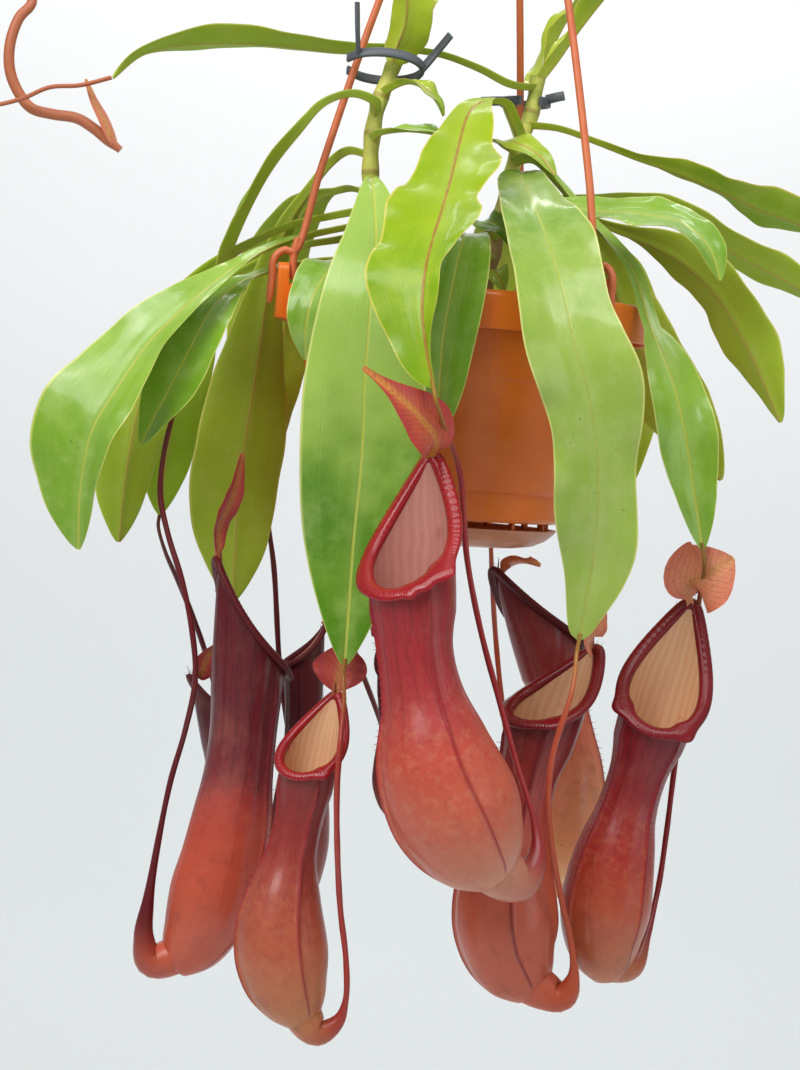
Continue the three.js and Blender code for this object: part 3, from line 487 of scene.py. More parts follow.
lamp("window", (-0.9, -1.2, 0.55), (0, 0, -0.4), (0.9, 0.9), 14, (1, 0.985, 0.96))
lamp("ceiling", (0.0, -0.8, 0.95), (0, 0, -0.35), (1.9, 0.8), 18, (1, 1, 1))
lamp("right_fill", (1.3, -0.9, -0.2), (0, 0, -0.4), (0.8, 1.2), 3, (0.96, 0.98, 1))
lamp("wall_wash", (0, 1.6, 2.2), (0, 3.8, -0.3), (3.6, 0.8), 78, (1, 1, 1))

sky = bpy.data.worlds.new("room")
sky.use_nodes = True
room_light = sky.node_tree.nodes["Background"].inputs
room_light["Color"].default_value = (0.98, 0.99, 1, 1)
room_light["Strength"].default_value = 0.27
bpy.context.scene.world = sky
bpy.context.scene.view_settings.view_transform = "Standard"
print("lamps", len(bpy.data.lights))

# %% [markdown]
# ## Moulded plastic
#
# The pot is a thin injection-moulded bowl in terracotta colour. Such plastic is never one
# flat colour: the colour is a little cloudy, limescale and dust lie on it in patches, and
# fine scratches run round the wall where pots were stacked. Noise that is squeezed in height
# gives those level streaks.

# %% The plastic's finish
def plastic(name, bright, deep, dusty, gloss, dust):
    finish = Finish(name, ior=1.48)
    x, y, z = finish.axes()
    cloud = finish.noise(22, 4, 0.6)
    drift = finish.noise(1, 3, 0.6, finish.spot(x * 60, y * 60, z * 420))
    film = finish.patches(90, 5, 0.7, 0.5, 0.78)
    body = finish.mix(finish.smooth(cloud, 0.3, 0.75), bright, deep)
    streaked = finish.mix(finish.smooth(drift, 0.5, 0.85, 0.14), body, dusty)
    specks = finish.patches(700, 1, 0.5, 0.72, 0.8)
    dusted = finish.mix(film * dust, streaked, dusty)
    finish.feed("Base Color", finish.mix(specks * 0.35, dusted, (92, 52, 30)))
    finish.feed("Roughness", gloss + cloud * 0.12 + film * 0.22)
    scratches = finish.noise(1, 2, 0.6, finish.spot(x * 90, y * 90, z * 2600))
    finish.bump(scratches * 0.5 + finish.noise(480, 2), 0.16, 0.0004)
    return finish


TERRACOTTA = plastic("pot_plastic", (238, 122, 34), (220, 108, 28), (236, 156, 92), 0.26, 0.15)
SAUCER_PLASTIC = plastic("saucer_plastic", (206, 140, 104), (194, 124, 88), (226, 180, 152), 0.3, 0.5)
WIRE_PLASTIC = plastic("wire_plastic", (216, 118, 74), (200, 100, 58), (226, 150, 112), 0.34, 0.25)
CLIP_PLASTIC = plastic("clip_plastic", (92, 97, 104), (72, 76, 82), (128, 132, 138), 0.42, 0.3)
print("nodes in the pot's plastic", len(TERRACOTTA.tree.nodes))

# %% [markdown]
# ## The pot
#
# The wall is a body of turning, so it is a lathe of one profile: a rolled rim with a hollow
# skirt below it, a stacking step, a seam above the foot. Each corner of the profile is
# rounded a little, because a mould has no sharp edges and the rounding is what catches the
# light. The lugs are tabs with a round top, and the drain holes are cut out of the floor.

# %% Lathe tools
def rounded(profile, cut):
    """The profile with every corner drawn out into a short arc."""
    points = [np.array(p, float) for p in profile]
    soft = [points[0]]
    for before, corner, after in zip(points, points[1:], points[2:]):
        back, ahead = before - corner, after - corner
        start = corner + back * min(0.4, cut / max(np.linalg.norm(back), 1e-6))
        end = corner + ahead * min(0.4, cut / max(np.linalg.norm(ahead), 1e-6))
        for t in (0, 0.33, 0.67, 1):
            soft.append(start * (1 - t) ** 2 + corner * 2 * t * (1 - t) + end * t ** 2)
    return soft + [points[-1]]


def lathe(skin, profile, sides, raise_by=0.0):
    """Turn a profile of radius and height about the upright axis."""
    angles = np.linspace(0, 2 * np.pi, sides, endpoint=False)
    grid = [[(r * math.cos(a), r * math.sin(a), z + raise_by) for a in angles] for r, z in profile]
    skin.sheet(np.array(grid), around=True)


def around_axis(radius, degrees, z=0.0):
    angle = math.radians(degrees)
    return np.array([radius * math.cos(angle), radius * math.sin(angle), z])


# %% Pot wall
RIM_TOP = -323
RIM_RADIUS = 85
BAND_HEIGHT = 17
SKIRT_ROOF = 3.4
POT_HEIGHT = 101.5
POT_WALL = 1.7
BODY_TOP_RADIUS = 78
STEP_RADIUS = 73
STEP_DEPTH = 38.5
SEAM_RADIUS = 54.5
SEAM_DEPTH = 88
SEAM_LEDGE = 1.6
FOOT_RADIUS = 51.5
GAP = 0.35


def pot_profile():
    """Half the wall's section, from the middle of the floor up the outside and down the inside."""
    waist, waist_depth = (SEAM_RADIUS + STEP_RADIUS) / 2 + 1.5, (SEAM_DEPTH + STEP_DEPTH) / 2
    skirt, floor = RIM_RADIUS - POT_WALL, -POT_HEIGHT + POT_WALL
    return rounded([
        (0, -POT_HEIGHT), (FOOT_RADIUS - 2, -POT_HEIGHT), (FOOT_RADIUS, -POT_HEIGHT + 1.5),
        (SEAM_RADIUS - SEAM_LEDGE, -SEAM_DEPTH), (SEAM_RADIUS, -SEAM_DEPTH), (waist, -waist_depth),
        (STEP_RADIUS - 0.9, -STEP_DEPTH), (STEP_RADIUS, -STEP_DEPTH + 0.8),
        (BODY_TOP_RADIUS - 0.6, -BAND_HEIGHT), (BODY_TOP_RADIUS, -SKIRT_ROOF), (skirt, -SKIRT_ROOF),
        (skirt, -BAND_HEIGHT), (RIM_RADIUS, -BAND_HEIGHT), (RIM_RADIUS, -2), (RIM_RADIUS - 2, 0),
        (BODY_TOP_RADIUS + 1.4, 0), (BODY_TOP_RADIUS - POT_WALL, -2),
        (STEP_RADIUS - POT_WALL, -STEP_DEPTH), (waist - POT_WALL, -waist_depth),
        (SEAM_RADIUS - SEAM_LEDGE - POT_WALL, -SEAM_DEPTH), (FOOT_RADIUS - POT_WALL - 1, floor),
        (0, floor)], 0.9)


# %% Drain holes
def cut_away(piece, cutters):
    """Take the cutters' space out of a piece for good."""
    for cutter in cutters:
        step = piece.modifiers.new("cut", "BOOLEAN")
        step.operation = "DIFFERENCE"
        step.solver = "EXACT"
        step.object = cutter
    result = bpy.data.meshes.new_from_object(piece.evaluated_get(bpy.context.evaluated_depsgraph_get()))
    piece.modifiers.clear()
    piece.data = result
    for cutter in cutters:
        bpy.data.objects.remove(cutter)


def drill(radius, place, deep):
    work = bmesh.new()
    bmesh.ops.create_cone(work, cap_ends=True, segments=28, radius1=radius, radius2=radius, depth=deep,
                          matrix=Matrix.Translation(place))
    mesh = bpy.data.meshes.new("drill")
    work.to_mesh(mesh)
    work.free()
    return in_scene("drill", mesh)


POT_CREASE = 35
DRAIN_HOLES = 6
DRAIN_RADIUS = 4
DRAIN_RING = 26
skin = Skin()
lathe(skin, pot_profile(), 120, RIM_TOP)
pot = skin.piece("pot_wall", [TERRACOTTA], POT_CREASE)
drains = [around_axis(DRAIN_RING, k * 360 / DRAIN_HOLES, RIM_TOP - POT_HEIGHT) for k in range(DRAIN_HOLES)]
cut_away(pot, [drill(DRAIN_RADIUS * MM, Vector(place) * MM, 8 * MM) for place in drains])
pot.data.set_sharp_from_angle(angle=math.radians(POT_CREASE))
stands_for(pot, "pot", "pot")
print("pot faces", len(pot.data.polygons))

# %% Lugs and foot ribs
LUG_TURN = 191.5
LUG_RISE = 9
LUG_WIDTH = 8
LUG_DEPTH = 5
LUG_PLACE = (RIM_RADIUS - 0.7, 0, RIM_TOP)
FOOT_RIBS = 12
FOOT_RIB_OUTLINE = [(0, 0), (3, 0), (3, 1.8), (0, 1.8)]
FOOT_RIB_HEIGHT = 5.3
FOOT_RIB_PLACE = (42.5, -0.9, RIM_TOP - 106.1)


def about_axis(degrees):
    return Matrix.Rotation(math.radians(degrees), 4, "Z")


def moulded_block(name, outline, deep, place, edge):
    """A flat outline drawn out to a block, with all its edges eased. place is its matrix, in mm."""
    work = bmesh.new()
    face = work.faces.new([work.verts.new((x, y, 0)) for x, y in outline])
    solid = bmesh.ops.extrude_face_region(work, geom=[face])
    moved = [item for item in solid["geom"] if isinstance(item, bmesh.types.BMVert)]
    bmesh.ops.translate(work, verts=moved, vec=(0, 0, deep))
    bmesh.ops.recalc_face_normals(work, faces=work.faces)
    sharp = [line for line in work.edges if line.calc_face_angle(0) > math.radians(40)]
    bmesh.ops.bevel(work, geom=sharp, offset=edge, segments=3, profile=0.5, affect="EDGES")
    bmesh.ops.transform(work, matrix=Matrix.Scale(MM, 4) @ place, verts=work.verts)
    mesh = bpy.data.meshes.new(name)
    work.to_mesh(mesh)
    work.free()
    mesh.shade_smooth()
    mesh.set_sharp_from_angle(angle=math.radians(50))
    mesh.materials.append(TERRACOTTA.material)
    stands_for(in_scene(name, mesh), "pot")


def lug_outline():
    half = LUG_WIDTH / 2
    top = [(half * math.cos(a), LUG_RISE - half + half * math.sin(a)) for a in np.linspace(0, math.pi, 13)]
    return [(-half, -BAND_HEIGHT + 0.4), (half, -BAND_HEIGHT + 0.4), *top]


upright = Matrix(((0, 0, 1, 0), (1, 0, 0, 0), (0, 1, 0, 0), (0, 0, 0, 1)))
for number in range(3):
    moulded_block(f"pot_lug_{number + 1}", lug_outline(), LUG_DEPTH + 0.2,
                  about_axis(LUG_TURN + 120 * number) @ Matrix.Translation(LUG_PLACE) @ upright, 0.7)
for number in range(FOOT_RIBS):
    moulded_block(f"pot_foot_rib_{number + 1}", FOOT_RIB_OUTLINE, FOOT_RIB_HEIGHT,
                  about_axis(number * 360 / FOOT_RIBS + 7) @ Matrix.Translation(FOOT_RIB_PLACE), 0.3)
print("lugs 3, foot ribs", FOOT_RIBS)

# %% [markdown]
# ## The saucer
#
# A shallow dish below the pot catches the water. It is turned like the pot, of a paler and
# shinier plastic, and clips on to the ribs under the pot's floor.

# %% Saucer
SAUCER_RADIUS = 49
SAUCER_BOTTOM = -113.7
SAUCER_WALL = 1.7
SAUCER_HEIGHT = 9.1

saucer_profile = rounded([(r, SAUCER_BOTTOM + z) for r, z in [
    (0, 0), (31, 0), (38, 1.1), (43.5, 3.6), (47.5, 7), (SAUCER_RADIUS, SAUCER_HEIGHT),
    (SAUCER_RADIUS - SAUCER_WALL, SAUCER_HEIGHT), (46, 7.3), (42, 4.8), (37, 2.7), (31, SAUCER_WALL),
    (0, SAUCER_WALL)]], 0.7)
skin = Skin()
lathe(skin, saucer_profile, 110, RIM_TOP)
saucer = stands_for(skin.piece("saucer_dish", [SAUCER_PLASTIC], 40), "saucer", "saucer")
print("saucer faces", len(saucer.data.polygons))

# %% [markdown]
# ## The hanger
#
# Three stiff plastic rods run from the lugs up to a small hub, and a hook turns out of the
# hub. A rod is a round skin along a line. Each one bows out a little and bends over its
# lug like a shepherd's crook, and a short stub inside the rim keeps it from slipping off.

# %% Wires and hook
WIRE_RADIUS = 1.75
HUB_BOTTOM = -48
HUB_RADIUS = 9
HOOK_RADIUS = 9
HOOK_WIRE = 2.2
SADDLE = RIM_TOP + LUG_RISE + GAP + WIRE_RADIUS
INSIDE_RIM = RIM_RADIUS - 0.5 - GAP - WIRE_RADIUS
OUTSIDE_RIM = RIM_RADIUS - 0.5 + LUG_DEPTH + GAP + WIRE_RADIUS


def wire(name, degrees):
    top = around_axis(5, degrees, HUB_BOTTOM - GAP - 0.6)
    bottom = around_axis(INSIDE_RIM, degrees, SADDLE + 3)

    def along(t, bow):
        return top + (bottom - top) * t + around_axis(bow, degrees)

    over_lug = [((INSIDE_RIM + OUTSIDE_RIM) / 2, SADDLE + 3.4), (OUTSIDE_RIM, SADDLE - 1),
                (OUTSIDE_RIM + 0.3, SADDLE - 10), (OUTSIDE_RIM + 0.8, SADDLE - 21)]
    long = Line([top, along(0.3, 3), along(0.6, 4), along(0.85, 2), bottom,
                 *(around_axis(radius, degrees, z) for radius, z in over_lug)])
    stub = Line([along(0.975, 0.5), bottom, around_axis(INSIDE_RIM, degrees, RIM_TOP + GAP + 1)])
    skin = Skin()
    skin.tube(long, lambda t: WIRE_RADIUS * min(1, 0.55 + 40 * t, 0.55 + 40 * (1 - t)), 190, 18)
    skin.tube(stub, lambda t: WIRE_RADIUS * min(0.98, 0.5 + 4 * (1 - t)), 16, 18)
    stands_for(skin.piece(f"{name}_rod", [WIRE_PLASTIC]), "hanger", name)
    print(name, round(long.length), "mm")


for number, name in enumerate(("wire_left", "wire_right", "wire_back")):
    wire(name, LUG_TURN + 120 * number)

turn = HOOK_RADIUS + HOOK_WIRE
hook_turns = [math.radians(a) for a in range(215, -31, -35)]
hook_line = Line([(0, 0, HUB_BOTTOM + 6), (0, 0, -36), (-2.5, 0, -26)]
                 + [(turn * math.cos(a), 0, turn * math.sin(a) - HOOK_RADIUS) for a in hook_turns])
skin = Skin()
skin.tube(hook_line, lambda t: HOOK_WIRE * min(1, 0.5 + 25 * (1 - t)), 150, 20)
lathe(skin, rounded([(0, HUB_BOTTOM), (HUB_RADIUS, HUB_BOTTOM), (HUB_RADIUS, HUB_BOTTOM + 3),
                     (4, HUB_BOTTOM + 9), (0, HUB_BOTTOM + 9)], 0.8), 64)
stands_for(skin.piece("hook_and_hub", [WIRE_PLASTIC]), "hanger", "hook")

# %% [markdown]
# ## The stems
#
# The canes are pale, woody and a little crooked, with a swollen ring wherever a leaf has
# been. Low down they are brown and fibrous. They are rods whose radius swells at each ring,
# and the finish changes from bark to green on the way up.

# %% Stem finish
def cane(name):
    finish = Finish(name, subsurface_weight=0.08, subsurface_scale=0.003)
    along = finish.read("along")
    x, y, z = finish.axes()
    fibre = finish.noise(1, 3, 0.6, finish.spot(x * 1500, y * 1500, z * 90))
    patch = finish.noise(75, 3, 0.6)
    green = finish.mix(finish.smooth(patch, 0.35, 0.7), (206, 206, 96), (160, 170, 66))
    barky = finish.mix(fibre, (118, 92, 52), (172, 150, 92))
    old = finish.smooth(patch * 0.45 - along * 0.75, -0.32, -0.06)
    ring = finish.smooth(finish.read("ring"), 0.2, 0.9)
    skin_colour = finish.mix(old, green, barky)
    finish.feed("Base Color", finish.mix(ring * 0.55, skin_colour, (140, 112, 56)))
    finish.feed("Roughness", 0.42 + fibre * 0.15 + old * 0.25)
    finish.bump(fibre + ring * 0.6, 0.5, 0.0006)
    return finish


# %% Stems
CANE = cane("stem_skin")
STEM_LINES = {
    "left": Line([(-26, -6, -352), (-36, -10, -323), (-45, -15, -294), (-49, -19, -267),
                  (-48, -18, -243), (-42, -13, -221)]),
    "right": Line([(3, 14, -352), (7, 18, -320), (11, 22, -296), (15, 27, -272), (19, 31, -250),
                   (24, 34, -233), (26, 36, -215)]),
}
STEM_RADIUS = 3.9
STEM_STEPS = 150
SCAR_WAVE = 50


def stem_radius(t):
    return STEM_RADIUS * (1.08 - 0.16 * t + 0.07 * math.cos(SCAR_WAVE * t))


scars = np.maximum(np.cos(SCAR_WAVE * np.linspace(0, 1, STEM_STEPS + 1)), 0) ** 8
for side, line in STEM_LINES.items():
    skin = Skin()
    skin.tube(line, stem_radius, STEM_STEPS, 24, ring=np.pad(scars, 1)[:, None])
    stands_for(skin.piece(f"stem_{side}_cane", [CANE]), "stem", f"stem_{side}")
    print("stem", side, round(line.length), "mm")

# %% [markdown]
# ## The clips
#
# Each cane is held to the hanger by a springy clip: a flat open ring with two finger grips.
# It is a flat band with eased edges, swept along a line.

# %% Clips
CLIP_WIDE = 4.4
CLIP_THICK = 1.8
CLIP_EDGE = 0.35
FLAT_SHARE = 0.99
BAND_STEPS = 7


def band(skin, points, facing):
    """A flat band along the points, with its wide side towards facing and its edges cut off."""
    line = Line(points)
    wide, thick = CLIP_WIDE / 2, CLIP_THICK / 2
    flat, low = FLAT_SHARE * (wide - CLIP_EDGE), FLAT_SHARE * (thick - CLIP_EDGE)
    corners = ((-wide, -low), (-flat, -thick), (flat, -thick), (wide, -low),
               (wide, low), (flat, thick), (-flat, thick), (-wide, low))
    rings = []
    for u in np.linspace(0, 1, len(points) * BAND_STEPS + 1):
        heading = line.heading_at(u)[0]
        across = unit(facing - heading * facing.dot(heading))
        out = np.cross(heading, across)
        centre = line.at(u)[0]
        rings.append([centre + across * a + out * b for a, b in corners])
    skin.sheet(np.array([pinched(rings[0]), *rings, pinched(rings[-1])]), around=True)


def clip(name, centre, long, short, grips):
    centre, long, short = (np.array(v, float) for v in (centre, long, short))
    facing = unit(np.cross(long, short))
    angles = [math.radians(a) for a in range(25, 336, 31)]
    skin = Skin()
    band(skin, [centre + long * math.cos(a) + short * math.sin(a) for a in angles], facing)
    for grip in grips:
        band(skin, grip, facing)
    stands_for(skin.piece(f"{name}_band", [CLIP_PLASTIC], 50), "clip", name)
    print(name, "faces", len(skin.faces))


clip("clip_left", (-46.5, -14, -222), (-18, 0, 0), (0, -10, 5), [
    [(-58, -21.7, -218), (-59, -26, -208), (-60, -27, -196)],
    [(-29, -13, -222), (-23, -14, -214), (-17, -17, -206)]])
clip("clip_right", (21.4, 46, -226), (2, -18, -1), (11, 1, 0.4), [
    [(14, 36, -227), (7, 32, -228), (0, 30, -229)],
    [(31, 37, -225), (35, 34, -224), (39, 33, -223)]])

# %% [markdown]
# ## The soil
#
# An open mix of bark, peat and perlite fills the pot to just below the rim, with moss on
# it. The body is a lumpy turned form, and the chips, crumbs and moss are many small pieces
# strewn over it from a seeded list of places, so that every run gives the same ones.

# %% Soil body
SOIL_BELOW_RIM = 8


def soil_height(x, y):
    radius, angle = np.hypot(x, y), np.arctan2(y, x)
    lump = 1.3 * np.sin(angle * 3 + radius) + 0.9 * np.cos(angle * 5 - radius * 0.7)
    fade = 1 - soft_step(radius, 58, 72)
    return RIM_TOP - SOIL_BELOW_RIM + np.minimum(60 - radius, 50) * 0.05 + lump * fade - 2 * (1 - fade)


def soil_body():
    wall = POT_WALL + GAP + 0.15
    outline = [(0, -POT_HEIGHT + POT_WALL + GAP), (FOOT_RADIUS - wall - 1, -POT_HEIGHT + POT_WALL + GAP),
               (SEAM_RADIUS - SEAM_LEDGE - wall, -SEAM_DEPTH),
               ((SEAM_RADIUS + STEP_RADIUS) / 2 + 1.1 - wall, -(SEAM_DEPTH + STEP_DEPTH) / 2),
               (STEP_RADIUS - wall - 0.9, -STEP_DEPTH), (BODY_TOP_RADIUS - wall - 1.4, -SOIL_BELOW_RIM - 2)]
    angles = np.linspace(0, 2 * np.pi, 96, endpoint=False)
    rings = [[(r * math.cos(a), r * math.sin(a), RIM_TOP + z) for a in angles] for r, z in outline]
    for radius in np.linspace(72, 0, 37):
        x, y = radius * np.cos(angles), radius * np.sin(angles)
        rings.append(np.stack([x, y, soil_height(x, y)], axis=-1))
    skin = Skin()
    skin.sheet(np.array(rings), around=True)
    return skin


def crumbly(name, dark, light, green):
    finish = Finish(name, roughness=0.95)
    grain = finish.noise(330, 5, 0.7)
    moss = finish.patches(38, 3, 0.5, 0.5, 0.66)
    base = finish.mix(grain, dark, light)
    finish.feed("Base Color", finish.mix(moss * 0.6, base, green))
    finish.bump(grain + finish.noise(90, 3) * 2, 0.9, 0.002)
    return finish


PEAT = crumbly("soil_peat", (34, 26, 18), (96, 74, 50), (78, 92, 34))
soil_bed = stands_for(soil_body().piece("soil_bed", [PEAT], 180), "soil", "soil")
print("soil faces", len(soil_bed.data.polygons))


# %% Bark, perlite and moss
STEM_CLEARANCE = 7
CHIP_SIDES = 7


def strewn(count, seed, reach):
    """Random places on the soil, clear of the stems, with the source of the next draws."""
    source = random.Random(seed)
    while count:
        radius, angle = reach * math.sqrt(source.random()), source.uniform(0, 2 * math.pi)
        x, y = radius * math.cos(angle), radius * math.sin(angle)
        near = min(np.hypot(line.points[1][0] - x, line.points[1][1] - y) for line in STEM_LINES.values())
        if near > STEM_CLEARANCE:
            count -= 1
            yield source, x, y, float(soil_height(x, y))


def chip(skin, source, x, y, z, long, wide, thick):
    """A broken flake: a crooked seven-sided plate, tilted any way."""
    spin = Matrix.Rotation(source.uniform(0, 6.3), 3, "Z")
    spin = spin @ Matrix.Rotation(source.uniform(-0.5, 0.5), 3, "X")
    rings = []
    for level, grow in ((-1, 0), (-1, 0.8), (-0.2, 1), (0.8, 0.9), (1, 0.55), (1, 0)):
        ring = []
        for k in range(CHIP_SIDES):
            a = 2 * math.pi * k / CHIP_SIDES
            bent = 0.75 + 0.5 * ((k * 37 % 11) / 11)
            p = spin @ Vector((long * grow * bent * math.cos(a), wide * grow * bent * math.sin(a),
                               thick * level))
            ring.append((x + p.x, y + p.y, z + thick * 0.6 + p.z))
        rings.append(ring)
    skin.sheet(np.array(rings), around=True)


bark = crumbly("bark_chips", (62, 42, 28), (140, 104, 70), (96, 88, 46))
perlite = crumbly("perlite", (196, 190, 178), (232, 228, 220), (168, 172, 140))
moss = Finish("moss_strands", roughness=0.8, subsurface_weight=0.1, subsurface_scale=0.001)
moss.feed("Base Color", moss.mix(moss.noise(160, 2), (72, 96, 30), (150, 158, 62)))

# Each row: name, finish, crease, how many, seed, and the limits of a chip's length, width and thickness.
for name, finish, crease, count, seed, *limits in (
        ("soil_bark", bark, 25, 170, 3, (2, 5.5), (1.4, 3), (0.5, 1.3)),
        ("soil_perlite", perlite, 60, 70, 5, (0.8, 1.9), (0.8, 1.6), (0.6, 1.1))):
    skin = Skin()
    for source, x, y, z in strewn(count, seed, 70):
        chip(skin, source, x, y, z, *(source.uniform(*pair) for pair in limits))
    stands_for(skin.piece(name, [finish], crease), "soil")

skin = Skin()
for source, x, y, z in strewn(520, 7, 71):
    lean = np.array([source.uniform(-3, 3), source.uniform(-3, 3), source.uniform(1.5, 4.5)])
    foot = np.array([x, y, z])
    skin.tube(Line([foot, foot + lean * 0.5 + (0, 0, 0.8), foot + lean]), taper(0.34, 0.7), 4, 5)
stands_for(skin.piece("soil_moss", [moss]), "soil")
print("moss faces", len(skin.faces))

# %% [markdown]
# ## The leaves
#
# A leaf is a long waved strap on a narrow stalk. Its midrib is sunk on top and stands out
# below, faint veins run along it, and the edge is a thin pale line. The skin is a closed
# grid: one half of each ring is the glossy top and the other half is the dull underside.
# Each point keeps how far along and across the leaf it is, and the finish paints from that.

# %% Leaf finishes
def leaf_finish(name, young, old, pale, rib, edge, speck, gloss=0.26, shine=1.0, under=False,
                turn=(0.15, 0.85)):
    """young is the colour at the stalk, old is at the tip, and turn says where one gives way."""
    finish = Finish(name, subsurface_weight=0.12, subsurface_scale=0.0015,
                    subsurface_radius=(0.5, 1, 0.12), ior=1.36)
    along, side, reach, run, tone = map(finish.read, ("along", "side", "reach", "run", "tone"))
    across = abs(side)
    cloud = finish.noise(32, 3, 0.55)
    fine = finish.noise(260, 4, 0.6)
    middle = finish.smooth(abs(reach) + (fine - 0.5) * 0.3, 0.8, 0.4)
    # Fine veins run along the blade, a few strong and many faint, with a net between them.
    wander = (finish.noise(18, 2) - 0.5) * 0.22
    strong = finish.smooth(finish.off_line(across * 3 + wander + 0.5), 0.06, 0.0)
    faint = finish.swell((reach + wander * 6) * 5.2)
    cells = finish.node("ShaderNodeTexVoronoi", {"feature": "DISTANCE_TO_EDGE"},
                        {"Vector": finish.spot(reach * 0.55, run * 0.16, tone * 9), "Scale": 1.0})
    net = finish.smooth(cells, 0.07, 0.0)
    # The leaf turns from its young colour to its old one with age. In the deep look, the pale young colour
    # that ends late along the leaf is also a painted sheen on the upper part of the blade.
    age_and_sheen = finish.smooth(along + (cloud - 0.5) * 0.7 + (tone - 0.5) * 0.5, *turn)
    ground = finish.mix(age_and_sheen, young, old)
    ground = finish.mix(finish.patches(70, 5, 0.65, 0.42, 0.72, 0.4), ground, pale)
    ground = finish.mix(faint * 0.04 + strong * 0.08 + net * 0.03, ground, pale)
    # A pale band a few mm either side of the midrib is a painted sheen, where the glossy blade catches the
    # light beside its groove.
    ground = finish.mix(finish.smooth(abs(reach), 5.5, 1.0) * 0.22, ground, pale)
    ribbed = finish.mix(middle, ground, finish.mix(finish.smooth(fine, 0.3, 0.8, 0.3), rib, edge))
    edged = finish.mix(finish.smooth(across, 0.945, 0.98) * 0.9, ribbed, edge)
    blemish = finish.patches(190, 3, 0.7, 0.69, 0.74) * finish.patches(26, 2, 0.5, 0.5, 0.62)
    dots = finish.patches(620, 1, 0.5, 0.755, 0.79)
    finish.feed("Base Color", finish.mix((blemish + dots * 0.5) * speck, edged, (52, 58, 22)))
    finish.feed("Roughness", gloss + cloud * 0.14 + blemish * 0.3 + (0.2 if under else 0))
    if not under:
        finish.feed("Coat Weight", finish.smooth(cloud, 0.2, 0.8, shine))
        finish.shader.inputs["Coat Roughness"].default_value = 0.13
    ridge = 1.6 if under else -1.3
    height = (strong * -0.35 + middle * ridge + net * -0.1 + fine * 0.1 + faint * 0.08 + cloud * 0.7)
    finish.bump(height, 0.35, 0.0005)
    return finish


LEAF_LOOKS = {
    "lime": dict(young=(154, 180, 6), old=(120, 160, 6), pale=(172, 194, 50),
                 rib=(160, 116, 40), edge=(206, 196, 84), speck=0.15, shine=0.45),
    "grey": dict(young=(108, 152, 44), old=(156, 184, 72), pale=(186, 204, 124),
                 rib=(164, 184, 76), edge=(206, 212, 120), speck=1.0),
    # The deep look's pale young colour gives way late to the dark old one. That pale colour is a painted
    # sheen on the upper part of the blade, which faces up towards the light.
    "deep": dict(young=(160, 194, 84), old=(88, 144, 4), pale=(172, 202, 104),
                 rib=(186, 200, 80), edge=(208, 216, 124), speck=0.4, turn=(0.3, 0.72)),
    "green": dict(young=(146, 184, 58), old=(118, 162, 34), pale=(176, 204, 112),
                  rib=(174, 188, 70), edge=(204, 208, 112), speck=0.4),
    "olive": dict(young=(160, 192, 50), old=(144, 180, 38), pale=(172, 188, 78),
                  rib=(170, 158, 56), edge=(196, 192, 92), speck=0.5),
    "young": dict(young=(180, 198, 42), old=(140, 174, 34), pale=(194, 208, 98),
                  rib=(184, 160, 70), edge=(192, 182, 84), speck=0.3),
}
UNDERSIDE = dict(young=(176, 198, 58), old=(160, 186, 46), pale=(180, 196, 90),
                 rib=(182, 174, 74), edge=(200, 200, 96), speck=0.25)
LEAF_FINISHES = {name: leaf_finish(f"leaf_{name}", **look) for name, look in LEAF_LOOKS.items()}
LEAF_UNDER = leaf_finish("leaf_under", gloss=0.36, under=True, **UNDERSIDE)
LIME_UNDER = leaf_finish("leaf_under_lime", gloss=0.36, under=True, **LEAF_LOOKS["young"])
print("leaf finishes", len(LEAF_FINISHES) + 2)

# %% [markdown]
# ### The shape of a leaf
#
# Widths are in mm. The stalk is a narrow strip for the first part of the line, and the blade
# swells to its fullest place and narrows to the tip. The blade looks one way near the stem and
# another way further out, so each leaf has two directions to face. Pairs of numbers are for
# its two halves, which are seldom alike.

# %% Leaf shape
LEAF_SHAPE = dict(wide=40, stalk=5.5, tip=1.8, bare=0.3, fullest=0.5, strap=0.8, near=(0, 0, 1),
                  far=(0, -1, 0.2), keel=0.16, wave=2.2, waves=2.5, phase=0, crimp=0.16,
                  halves=[1, 1], drift=[0, 0], ruffle=[0, 0])
SKIN_DEPTH = 0.72
RIB_DEPTH = 2.6


def blade_frame(line, t, shape):
    """The middle of the blade, and its three directions: ahead, across and up."""
    heading = line.heading_at(t)
    turned = soft_step(t, 0.1, 0.7)[:, None]
    look = np.array(shape["near"], float) * (1 - turned) + np.array(shape["far"], float) * turned
    normal = unit(look - heading * (look * heading).sum(axis=1)[:, None])
    return line.at(t), np.cross(heading, normal), normal


